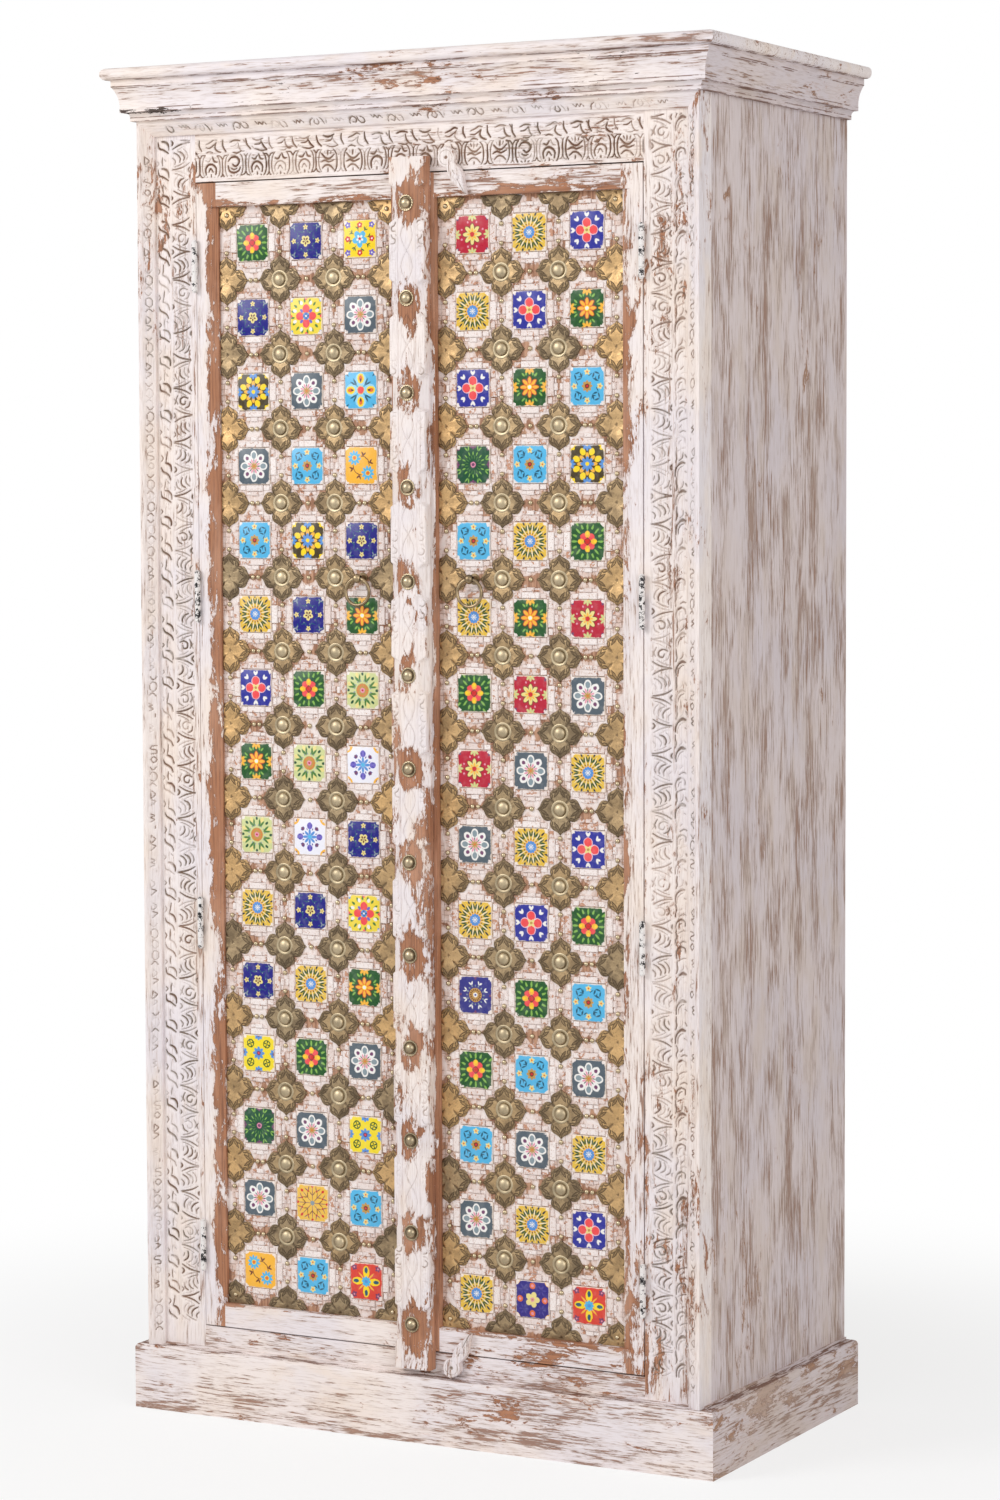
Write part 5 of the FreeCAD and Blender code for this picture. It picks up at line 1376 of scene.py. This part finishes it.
class PanelsOperator(bpy.types.Operator):
    """The panels behind the tiles: pinkish worn paint with the brick lines round each tile"""
    bl_idname = "cabinet.panels"
    bl_label = "Door panels"

    def execute(self, context):
        layout = Layout()
        material, n = new_material("panel_paint")
        x, y, z = n.place()
        shake = n.noise(n.vector(x, y, z), 90.0, 3.0) - 0.5
        across = abs((abs(x) / MM - layout.first_x).wrap(layout.pitch_x)) + shake * 4.0
        up = abs((z / MM - layout.first_z).wrap(layout.pitch_z)) + shake * 4.0
        far = (across * across + up * up) ** 0.5
        brick_u, brick_v = abs(across.wrap(9.0)), abs((up + 3.0).wrap(7.0))
        patch = n.noise(n.vector(x, y, z * 0.7), 48.0, 5.0, 0.60, 0.6)
        ragged = n.noise(n.vector(x, y, z), 300.0, 3.0, 0.7)
        bricks = brick_u.low(brick_v).rise(0.7, 0.25) * far.rise(24.0, 27.0) * far.rise(47.0, 40.0)
        behind = (y / MM).rise(layout.face + 3.0, layout.face + 5.0)
        bricks = bricks * patch.rise(0.42, 0.52) * (1 - behind)
        halo = far.rise(52.0, 42.0).high(behind)
        gone = (patch * 0.88 + ragged * 0.12 - halo * 0.125 + 0.075).rise(0.505, 0.525)
        fibre = n.noise(grain_vector(n, "z", 0.04), 300.0, 3.0)
        wood = n.mix(fibre.rise(0.40, 0.62), linear(188, 144, 116), linear(146, 102, 78))
        paint = n.mix(patch.rise(0.38, 0.56), linear(236, 224, 220), linear(216, 190, 178))
        surface = n.mix(gone, paint, wood)
        surface = n.mix(bricks * 0.8, surface, linear(150, 120, 102))
        height = (1 - gone) * 0.5 - bricks * 0.6 + fibre * 0.1
        n.finish(surface, 0.70, n.bump(height, 0.0006, 0.8))
        finish_nodes(material, *both("door_panel"))
        return {"FINISHED"}


class TilesOperator(bpy.types.Operator):
    """Glazed tiles with soft edges, in the order of the doors"""
    bl_idname = "cabinet.tiles"
    bl_label = "Painted tiles"

    def shape(self, tile, front, back):
        """A cushion-edged tile: square rings that shrink from the back to the flat of the face."""
        half = tile / 2
        rings = [(half - 0.3, back), (half, back - 0.6), (half, front + 1.1), (half - 0.35, front + 0.35),
                 (half - 1.1, front)]
        corners = np.array([(-1, -1), (1, -1), (1, 1), (-1, 1)], float)
        cuts = 1.6 / half * np.array([(0, 1), (0.3, 0.3), (1, 0)])
        ring = np.concatenate([c * (1 - (cuts if c[0] * c[1] > 0 else cuts[::-1])) for c in corners])
        reach, y = np.array(rings).T[:, :, None]
        points = np.stack([reach * ring[:, 0], y + 0 * ring[:, 0], reach * ring[:, 1]], -1)
        quads = grid_quads(len(rings), len(ring), wrap_columns=True)
        face = [(len(rings) - 1) * len(ring) + k for k in range(len(ring))][::-1]
        back_face = list(range(len(ring)))
        return points.reshape(-1, 3), quads, [face, back_face], points[..., [0, 2]].reshape(-1, 2) / half

    def execute(self, context):
        layout = Layout()
        low, high = node_box("right_tiles")
        points, quads, others, uv = self.shape(layout.tile, low[1], high[1])
        places = layout.tiles()
        made = {design: tile_material(design) for design in DESIGNS}
        for (side, name), order in zip(SIDES, (RIGHT_ORDER, LEFT_ORDER)):
            table = [row.split()[::side] for row in order.split("|")][::-1]
            designs = sorted({design for row in table for design in row})
            shell = Shell()
            for slot, design in enumerate(designs):
                chosen = [(x, 0.0, z) for x, z, row, column in places
                          if table[int(row)][int(column)] == design]
                shell.copies(points, quads, chosen, others, uv, slot)
            shell.build(name + "_glazed_tiles", [made[d] for d in designs], name + "_door", [name + "_tiles"],
                        "tile", mirror=side < 0, sharp=50.0)
        return {"FINISHED"}


class BlocksOperator(bpy.types.Operator):
    """Stepped wooden blocks round the tiles, each a wide and a narrow chamfered block"""
    bl_idname = "cabinet.blocks"
    bl_label = "Stepped blocks"

    def block(self, x0, x1, z0, z1, face, height, chamfer=0.9):
        """A block with chamfered upper edges: square rings at the panel, below the chamfer and on top."""
        rings = [(0.0, 0.0), (0.0, height - chamfer), (chamfer, height)]
        points = [[(x0 + c, face - h, z0 + c), (x1 - c, face - h, z0 + c), (x1 - c, face - h, z1 - c),
                   (x0 + c, face - h, z1 - c)] for c, h in rings]
        quads = grid_quads(len(rings), 4, wrap_columns=True)
        return np.array(points, float).reshape(-1, 3), quads, [[11, 10, 9, 8], [0, 1, 2, 3]]

    def execute(self, context):
        s = sizes()
        layout = Layout()
        face, height = layout.face, s.block_height / MM
        start = layout.tile / 2 + s.block_joint / MM
        shapes = []
        joint, lower = 0.25, height - 0.4
        for width, deep, step_width, step_deep, beside in ((26, 8.5, 11, 6, False), (24, 9.6, 9, 5.2, True)):
            end = start + deep
            pair = ((width / 2, start, end - joint, height),
                    (step_width / 2, end + joint, end + step_deep, lower))
            for way in (1, -1):
                for half, near, far, top in pair:
                    z0, z1 = sorted((way * near, way * far))
                    box = (z0, z1, -half, half) if beside else (-half, half, z0, z1)
                    shapes.append(self.block(*box, face, top))
        for x0, x1, z0, z1, top in ((14, 23, 26, 32.5, 1.6), (6, 13, 34.8, 39, 1.2),
                                    (26.2, 32, 13.5, 22, 1.5), (35.8, 38.4, 5, 11, 1.1),
                                    (23.6, 26.4, 24.2, 28.4, 1.3)):
            for way_x, way_z in ((1, 1), (1, -1), (-1, 1), (-1, -1)):
                ends = sorted((way_x * x0, way_x * x1)) + sorted((way_z * z0, way_z * z1))
                shapes.append(self.block(*ends, face, top, 0.5))
        places = at_depth(layout.tiles(), 0)
        random = np.random.default_rng(61)
        for side, name in SIDES:
            shell = Shell()
            for points, quads, others in shapes:
                shell.copies(points, quads, places, others, tone=random.uniform(0, 1, len(places)))
            shell.build(name + "_wooden_blocks", [self.material(name)], name + "_door",
                        [name + "_stepped_blocks"], "painted_wood", mirror=side < 0, sharp=30.0)
        return {"FINISHED"}

    def material(self, name):
        material, n = new_material(name + "_block_paint")
        x, y, z = n.place()
        tone = n.value("tone")
        patch = n.noise(n.vector(x, y, z), 150.0, 4.0, 0.65)
        ragged = n.noise(n.vector(x, y, z), 500.0, 3.0)
        gone = (patch * 0.8 + ragged * 0.1 + tone * 0.10).rise(0.575, 0.590)
        paint = n.mix(tone, linear(240, 231, 228), linear(224, 207, 201))
        paint = n.mix(ragged.rise(0.50, 0.66) * 0.5, paint, linear(196, 168, 154))
        surface = n.mix(gone, paint, linear(192, 142, 116))
        n.finish(surface, 0.62, n.bump((1 - gone) * 0.6 + ragged * 0.2, 0.0004, 0.7))
        return material


PETAL_ANGLES = (0.0, 3.0, 7.8, 15.0, 22.9, 31.0, 38.1, 42.0, 45.0)
PETAL_SHARES = (1.0, 0.935, 0.890, 0.862, 0.847, 0.812, 0.737, 0.655, 0.575)


def flower_outline(x, z, reach_x, reach_z):
    """Share of the way from a flower's middle to its outline. The outline's radius follows the angle from the
    nearest petal's axis, through the shares above, and the reaches stretch it."""
    angle = np.degrees(np.arctan2(z / reach_z, x / reach_x))
    off = np.abs(np.mod(angle + 45, 90) - 45)
    return np.hypot(x / reach_x, z / reach_z) / np.interp(off, PETAL_ANGLES, PETAL_SHARES)


class FlowersOperator(bpy.types.Operator):
    """Stamped brass flowers, clipped at the panel's edges"""
    bl_idname = "cabinet.flowers"
    bl_label = "Brass flowers"

    def flower(self, offset, window, reach_x, reach_z, rings, around):
        """Rings of points from a middle inside the window out to the outline or the window's edge.

        The radius for each angle is found by halving: inside while the outline share is under 1.
        """
        angle = np.arange(around) * 2 * math.pi / around
        c, s = np.cos(angle), np.sin(angle)
        near, far = np.zeros(around), np.full(around, 1.5 * max(reach_x, reach_z))
        for _ in range(22):
            middle = (near + far) / 2
            x, z = offset[0] + middle * c, offset[1] + middle * s
            inside = ((flower_outline(x, z, reach_x, reach_z) < 1) & (x > window[0]) & (x < window[1])
                      & (z > window[2]) & (z < window[3]))
            near, far = np.where(inside, middle, near), np.where(inside, far, middle)
        share = np.array(rings)[:, None]
        return offset[0] + share * near * c, offset[1] + share * near * s

    def execute(self, context):
        s = sizes()
        layout = Layout()
        reach_x, reach_z = s.flower_reach_x / MM, s.flower_reach_z / MM
        sheet, around = s.sheet / MM, 72
        rings = (0.16, 0.30, 0.42, 0.52, 0.61, 0.69, 0.76, 0.83, 0.89, 0.94, 0.98, 1.0)
        random = np.random.default_rng(71)
        shells = {name: Shell() for side, name in SIDES}
        for x0, z0, row, column in layout.flowers():
            window = np.array(layout.window) - [x0, x0, z0, z0]
            offset = (np.clip(0, window[0] + 2, window[1] - 2), np.clip(0, window[2] + 2, window[3] - 2))
            x, z = self.flower(offset, window, reach_x, reach_z, rings, around)
            out = np.clip(flower_outline(x, z, reach_x, reach_z), 0, 1)
            swell = np.sin(math.pi * np.clip((out - 0.25) / 0.75, 0, 1)) ** 0.7 * 1.1
            u, v = np.abs(x / reach_x), np.abs(z / reach_z)
            along, across = np.maximum(u, v), np.minimum(u, v)
            valley = np.clip((along - across) / 0.14, 0.1, 1)
            valley = 1 - (1 - valley) * np.clip((out - 0.30) / 0.25, 0, 1)
            loops = [np.clip(-lens(along, across, *shape) / 0.03, 0, 1) for shape in PETAL_LOOPS]
            swell = (swell * valley + 0.55 * np.maximum.reduce(loops)) * (out < 0.985)
            y = layout.face - sheet - swell
            y[-1] = layout.face - sheet * 0.75
            foot = np.stack([x[-1], 0 * x[-1] + layout.face, z[-1]], -1)[None]
            points = np.vstack([np.stack([x, y, z], -1), foot])
            middle = [[offset[0], layout.face - sheet - 0.2, offset[1]], [offset[0], layout.face, offset[1]]]
            flat = np.vstack([points.reshape(-1, 3), middle])
            quads = grid_quads(len(points), around, wrap_columns=True)
            fans = end_fans(len(points), around)
            uv = np.stack([flat[:, 0] / reach_x, flat[:, 2] / reach_z], -1)
            edge = np.concatenate([out.ravel(), np.ones(around), [0.0, 0.0]])
            # The cavity value darkens the brass between the petals and at the sheet's foot, as tarnish and as
            # painted shade.
            dirt_and_shade = np.concatenate([(1 - valley).ravel(), np.ones(around), [1.0, 0.0]])
            at_side = column in (0, layout.columns)
            for shell in shells.values():
                # Most side-column flowers get a high gold value, which is a painted sheen. The rest get a low
                # random tone.
                takes_sheen = at_side and random.uniform() < 0.75
                gold = random.uniform(0.55, 1.0) if takes_sheen else random.uniform(0.0, 0.40)
                shell.add(flat + [x0, 0, z0], quads, fans, uv, edge=edge, cavity=dirt_and_shade, gold=gold)
        material = brass_sheet("stamped_brass")
        for side, name in SIDES:
            shells[name].build(name + "_stamped_flowers", [material], name + "_door",
                               [name + "_brass_flowers"], "brass", mirror=side < 0, sharp=60.0)
        return {"FINISHED"}


class StudsOperator(bpy.types.Operator):
    """Beaded hubs on the flowers and ball nails at their tips"""
    bl_idname = "cabinet.studs"
    bl_label = "Hubs and nails"

    def hub(self, radius):
        """A turned hub: a beaded rim, a groove and a dome. Beads lift the rim as |cos(12 a)|."""
        inner = radius * 0.64
        profile = [(0, 0), (radius - 0.6, 0), (radius, 0.5), (radius - 0.4, 1.2), (radius - 1.6, 1.5),
                   (radius - 2.9, 1.1), (inner + 0.2, 0.6), (inner, 0.9)]
        profile += dome(inner, 1.0, 4.7, np.linspace(math.pi / 2, 0, 8)[1:-1])

        def beads(angle, r, h):
            on_rim = np.exp(-((r - (radius - 1.3)) / 0.9) ** 2)
            return r, h + on_rim * (np.abs(np.cos(12 * angle)) - 0.5) * 0.9 * (h > 0)

        return lathe(profile, 48, beads)

    def nail_places(self, layout, s):
        """Beyond each petal's tip, one between two flowers side by side, and one on each quarter flower."""
        beyond = 0.4 + s.nail_radius / MM
        reach_x, reach_z = s.flower_reach_x / MM + beyond, s.flower_reach_z / MM + beyond
        x, z, row, column = layout.flowers().T
        side, end = (column == 0) | (column == layout.columns), (row == 0) | (row == layout.rows)
        places = []
        for way in (1, -1):
            keep = ~(side & end)
            places.append(np.stack([x, z + way * reach_z], -1)[keep])
            left = column + (way - 1) / 2
            shared = (left > 0) & (left < layout.columns - 1)
            places.append(np.stack([x + way * reach_x, z], -1)[~end & ~shared])
            if way == 1:
                places.append(np.stack([x + layout.pitch_x / 2, z], -1)[~end & shared])
        places = np.vstack(places)
        radius = s.nail_radius / MM
        low_x, high_x, low_z, high_z = layout.window
        inside = ((places[:, 0] > low_x + radius) & (places[:, 0] < high_x - radius)
                  & (places[:, 1] > low_z + radius) & (places[:, 1] < high_z - radius))
        boss_low, boss_high = node_box("right_ring_boss")
        boss = np.array([(boss_low[0] + boss_high[0]) / 2, (boss_low[2] + boss_high[2]) / 2])
        apart = np.hypot(*(places - boss).T) > 7.5 + radius
        return places[inside & apart]

    def execute(self, context):
        s = sizes()
        layout = Layout()
        sheet, radius = s.sheet / MM, s.nail_radius / MM
        hub, hub_quads, hub_fans = self.hub(s.hub_radius / MM)
        hub_places = at_depth(layout.whole(), layout.face - sheet)
        off_axis = np.hypot(hub[:, 0], hub[:, 2])
        groove = np.exp(-((off_axis - s.hub_radius / MM * 0.70) / 0.9) ** 2)
        ball = dome(radius * 0.97, 0.8, 3.0, np.linspace(math.pi / 2, 0, 5)[:-1])
        nail, nail_quads, nail_fans = lathe([(0, 0), (radius * 0.72, 0.0), (radius * 0.9, 0.5)] + ball, 12)
        nail_places = at_depth(self.nail_places(layout, s), layout.face)
        inset = 11.6
        low_x, high_x, low_z, high_z = layout.window
        corners = [(x, layout.face - sheet, z) for x in (low_x + inset, high_x - inset)
                   for z in (low_z + inset, high_z - inset)]
        hub_metal = brass_plain("hub_brass", "nail", 0.35, 0.36)
        nail_metal = brass_plain("nail_brass", "nail", 0.15, 0.24)
        for side, name in SIDES:
            shell = Shell()
            shell.copies(hub, hub_quads, hub_places, hub_fans, cavity=groove)
            shell.copies(nail, nail_quads, np.vstack([nail_places, corners]), nail_fans, slot=1)
            shell.build(name + "_hubs_and_nails", [hub_metal, nail_metal], name + "_door",
                        [name + "_brass_studs"], "brass", mirror=side < 0, sharp=50.0)
        return {"FINISHED"}


class PullsOperator(bpy.types.Operator):
    """Ring pulls and their ball-headed posts"""
    bl_idname = "cabinet.pulls"
    bl_label = "Ring pulls"

    def execute(self, context):
        finish_nodes(brass_plain("pull_brass", "brass", 0.75, 0.26), *both("ring_boss"), *both("pull_ring"))
        return {"FINISHED"}


class HingesOperator(bpy.types.Operator):
    """Hinges with chipped white paint, their screws, and the catches' pivots"""
    bl_idname = "cabinet.hinges"
    bl_label = "Hinges and screws"

    def execute(self, context):
        material, n = new_material("hinge_paint")
        x, y, z = n.place()
        patch = n.noise(n.vector(x, y, z), 130.0, 4.0, 0.7)
        ragged = n.noise(n.vector(x, y, z), 600.0, 3.0)
        chip = (patch * 0.75 + ragged * 0.25).rise(0.52, 0.55)
        surface = n.mix(chip, linear(232, 228, 226), tint("hinge_metal"))
        n.finish(surface, 0.5 - chip * 0.1, n.bump(1 - chip, 0.0003, 0.8), chip * 0.6)
        finish_nodes(material, "hinge_frame_leaves", "hinge_pins", *both("hinge_door_leaves"))
        screw, n = new_material("screw_steel")
        cloud = metal_flecks(n, 300.0)
        n.finish(n.mix(cloud.rise(0.4, 0.7), linear(120, 116, 110), linear(74, 66, 60)), cloud * 0.2 + 0.35,
                 n.bump(cloud, 0.0002, 0.4), 1.0)
        finish_nodes(screw, "hinge_frame_screws", *both("hinge_door_screws"))
        finish_nodes(painted("catch_screw_paint", "z", 0.0, 0.0), "catch_screws")
        return {"FINISHED"}


class AstragalOperator(bpy.types.Operator):
    """The strip over the doors' gap: long diamonds and curls between studs with scalloped rims"""
    bl_idname = "cabinet.astragal"
    bl_label = "Astragal"

    def execute(self, context):
        s = sizes()
        low, high = node_box("astragal")
        studs_low, studs_high = node_box("astragal_studs")
        rim = (studs_high[0] - studs_low[0]) / 2
        count = 13
        stud_z = np.linspace(studs_low[2] + rim, studs_high[2] - rim, count)
        middle, half = (low[0] + high[0]) / 2, (high[0] - low[0]) / 2
        step = s.carving_step / MM
        x = np.unique(np.concatenate([steps(low[0], high[0], step), [low[0] + 1.2, high[0] - 1.2]]))
        z = steps(low[2], high[2], step)
        grid_x, grid_z = np.meshgrid(x, z, indexing="ij")
        off = np.abs(grid_x - middle)
        to_stud = np.abs(grid_z[..., None] - stud_z).min(-1)
        near = ease(np.clip((27.0 - to_stud - (half - off) * 0.5) / 5.0, 0, 1))
        flat = 13.5
        bevel = np.clip((off - flat) / (half - flat), 0, 1) * 10.5 * near
        soft = np.clip(off - (half - 2.0), 0, 2) ** 2 * 0.7 * (1 - near)
        pitch = stud_z[1] - stud_z[0]
        run = np.mod(grid_z - stud_z[0], pitch)
        margin, cells, swing = 21, 2, 8.5
        on_lattice = (run > margin) & (run < pitch - margin) & (off < 12.6)
        cell = (pitch - 2 * margin) / cells
        zigzag = swing * np.sin(math.pi * np.mod((run - margin) / cell, 1))
        gap = np.minimum(np.abs(grid_x - middle - zigzag), np.abs(grid_x - middle + zigzag))
        lattice = 0.5 * ridge(gap / math.hypot(1, 2 * swing / cell), 1.0) * on_lattice
        edge_line = 0.45 * ridge(off - 13.1, 0.9) * (near < 0.4)
        curls = np.zeros(grid_x.shape)
        for sign in (1, -1):
            across = sign * (grid_x - middle) - 14.4
            found = band(across, grid_z, CURL_WIDTH, CURL_PITCH, CURLS, 81 + sign, flip=True)
            curls = np.maximum(curls, found)
        fade = 0.45 + 0.35 * np.sin(grid_z / 61.0) * np.sin(grid_z / 23.0)
        curls = curls * fade * (near < 0.05) * (run > 16) * (run < pitch - 16)
        ends = (grid_z > stud_z[0]) & (grid_z < stud_z[-1])
        depth = np.maximum(np.maximum(lattice, edge_line), curls) * ends
        y = low[1] + bevel + soft + depth * s.carving_depth / MM * 0.9 + gouge(grid_x.shape, 83)
        y = np.clip(y, low[1], high[1] - 2.0)
        y[0], y[-1] = np.maximum(y[0], low[1] + 4), np.maximum(y[-1], low[1] + 4)
        back = node_box("left_door_meeting_stile")[0][1] - 0.5

        def bare(px, py, pz):
            """Bare wood round the studs, and more of it at both ends."""
            run_z, run_x = abs((pz / MM - stud_z[0]).wrap(pitch)), abs(px / MM - middle)
            at_stud = (run_z + run_x * 0.9).rise(44, 26) * (1 - run_x.rise(15, 20) * 0.7)
            worn = at_stud * 2.0 + run_x.rise(half - 4, half) * 0.6
            return worn + abs(pz / MM - 0.5 * (low[2] + high[2])).rise(690, 790)

        shell = Shell()
        shell.relief(np.stack([grid_x, y, grid_z], -1), back, depth)
        material = painted("astragal_paint", "z", 0.7, 0.5, bare, carved=1.0)
        shell.build("carved_astragal", [material], "right_door", ["astragal"], "painted_wood")
        self.studs(rim, stud_z, (studs_low[0] + studs_high[0]) / 2, studs_high[1])
        return {"FINISHED"}

    def studs(self, rim, stud_z, x, back):
        """Domed nails. The rim's radius is R - 0.9 |sin(9 a)|, which makes eighteen scallops."""
        profile = [(0, 0), (rim - 0.8, 0), (rim, 0.4), (rim - 0.5, 1.3), (rim - 2.0, 1.6), (rim - 3.0, 1.0),
                   (7.2, 1.1)] + dome(7.0, 1.4, 5.5, np.linspace(math.pi / 2, 0, 8)[1:-1])

        def scallops(angle, r, h):
            return r - np.clip((r - (rim - 3)) / 3, 0, 1) * 1.0 * np.abs(np.sin(9 * angle)), h

        points, quads, fans = lathe(profile, 72, scallops)
        r = np.hypot(points[:, 0], points[:, 2])
        cavity = np.exp(-((r - (rim - 3.4)) / 1.3) ** 2)
        shell = Shell()
        shell.copies(points, quads, [(x, back, z) for z in stud_z], fans, cavity=cavity)
        shell.build("astragal_nails", [brass_plain("astragal_brass", "nail", 0.50, 0.26)], "right_door",
                    ["astragal_studs"], "brass", sharp=50.0)


class CatchesOperator(bpy.types.Operator):
    """Wooden turn catches: a dimpled disc with a feathered tail"""
    bl_idname = "cabinet.catches"
    bl_label = "Turn catches"

    def half_width(self, along):
        """Half the width at a distance along the catch from its pivot: the disc, the neck, the leaf."""
        disc = np.sqrt(np.clip(13.0 ** 2 - (along + 30.0) ** 2, 0, None))
        leaf = np.interp(along, (-30, -17, -12, -6.5, 0, 5, 10.4, 18, 26),
                         (7, 7, 8.6, 9.5, 9.2, 7.9, 5.4, 2.7, 0.0))
        return np.maximum(disc, leaf)

    def execute(self, context):
        material = painted("catch_paint", "z", 0.1, 0.1, carved=0.9)
        for name, upright in (("top_catch", -1), ("bottom_catch", 1)):
            low, high = node_box(name)
            joint = next(j for j in frame["joints"] if j["name"] == name + "_turn")
            pivot = np.array(joint["pos_m"]) / MM
            t = np.linspace(0, 1, 60)
            along = -43.0 + 69.0 * (t - np.sin(2 * math.pi * t) / (2 * math.pi) * 0.55)
            across = np.sin(np.linspace(-1, 1, 25) * math.pi / 2)
            a, b = np.meshgrid(along, across, indexing="ij")
            width = np.maximum(self.half_width(a), 0.02)
            side = b * width
            rounded = 2.2 * (1 - np.sqrt(np.clip(1 - np.abs(b) ** 6, 0, 1)))
            to_disc = np.hypot(a + 30.0, side)
            dimple = 1.8 * ridge(to_disc, 3.0)
            ring = 0.7 * ridge(to_disc - 9.5, 0.9)
            vein = 0.9 * ridge(side, 0.9) * (a > -10)
            barbs = np.cos((a - np.abs(side) * 1.3) * 2 * math.pi / 5.5) - 0.35
            barbs = 0.8 * np.clip(barbs, 0, 1) * (a > -12)
            depth = dimple + ring + np.maximum(vein, barbs)
            y = low[1] + rounded + depth
            angle = math.radians(60.0)
            x = pivot[0] + a * math.cos(angle) - side * math.sin(angle)
            z = pivot[2] + upright * (a * math.sin(angle) + side * math.cos(angle))
            shell = Shell()
            shell.relief(np.stack([x, y, z], -1), high[1], np.clip(depth, 0, 1))
            shell.build("carved_" + name, [material], name, [name], "painted_wood")
        return {"FINISHED"}


OPERATORS = (StageOperator, CarcassOperator, CarvedStilesOperator, CarvedRailOperator, MouldingsOperator,
             DoorFramesOperator, PanelsOperator, TilesOperator, BlocksOperator, FlowersOperator,
             StudsOperator, PullsOperator, HingesOperator, AstragalOperator, CatchesOperator)


class CabinetPanel(bpy.types.Panel):
    """Settings and pieces of the cabinet"""
    bl_idname = "VIEW3D_PT_cabinet"
    bl_label = "Carved cabinet"
    bl_space_type = "VIEW_3D"
    bl_region_type = "UI"
    bl_category = "Cabinet"

    def draw(self, context):
        for group in (context.scene.cabinet_sizes, context.scene.cabinet_colours):
            box = self.layout.box()
            for name in group.__annotations__:
                box.prop(group, name)
        for operator in OPERATORS:
            self.layout.operator(operator.bl_idname)


CLASSES = (CabinetSizes, CabinetColours, *OPERATORS, CabinetPanel)


def register():
    for cls in CLASSES:
        bpy.utils.register_class(cls)
    bpy.types.Scene.cabinet_sizes = bpy.props.PointerProperty(type=CabinetSizes)
    bpy.types.Scene.cabinet_colours = bpy.props.PointerProperty(type=CabinetColours)


def unregister():
    del bpy.types.Scene.cabinet_sizes, bpy.types.Scene.cabinet_colours
    for cls in reversed(CLASSES):
        bpy.utils.unregister_class(cls)


def main():
    register()
    for operator in OPERATORS:
        group, name = operator.bl_idname.split(".")
        getattr(getattr(bpy.ops, group), name)()


if __name__ == "__main__":
    main()
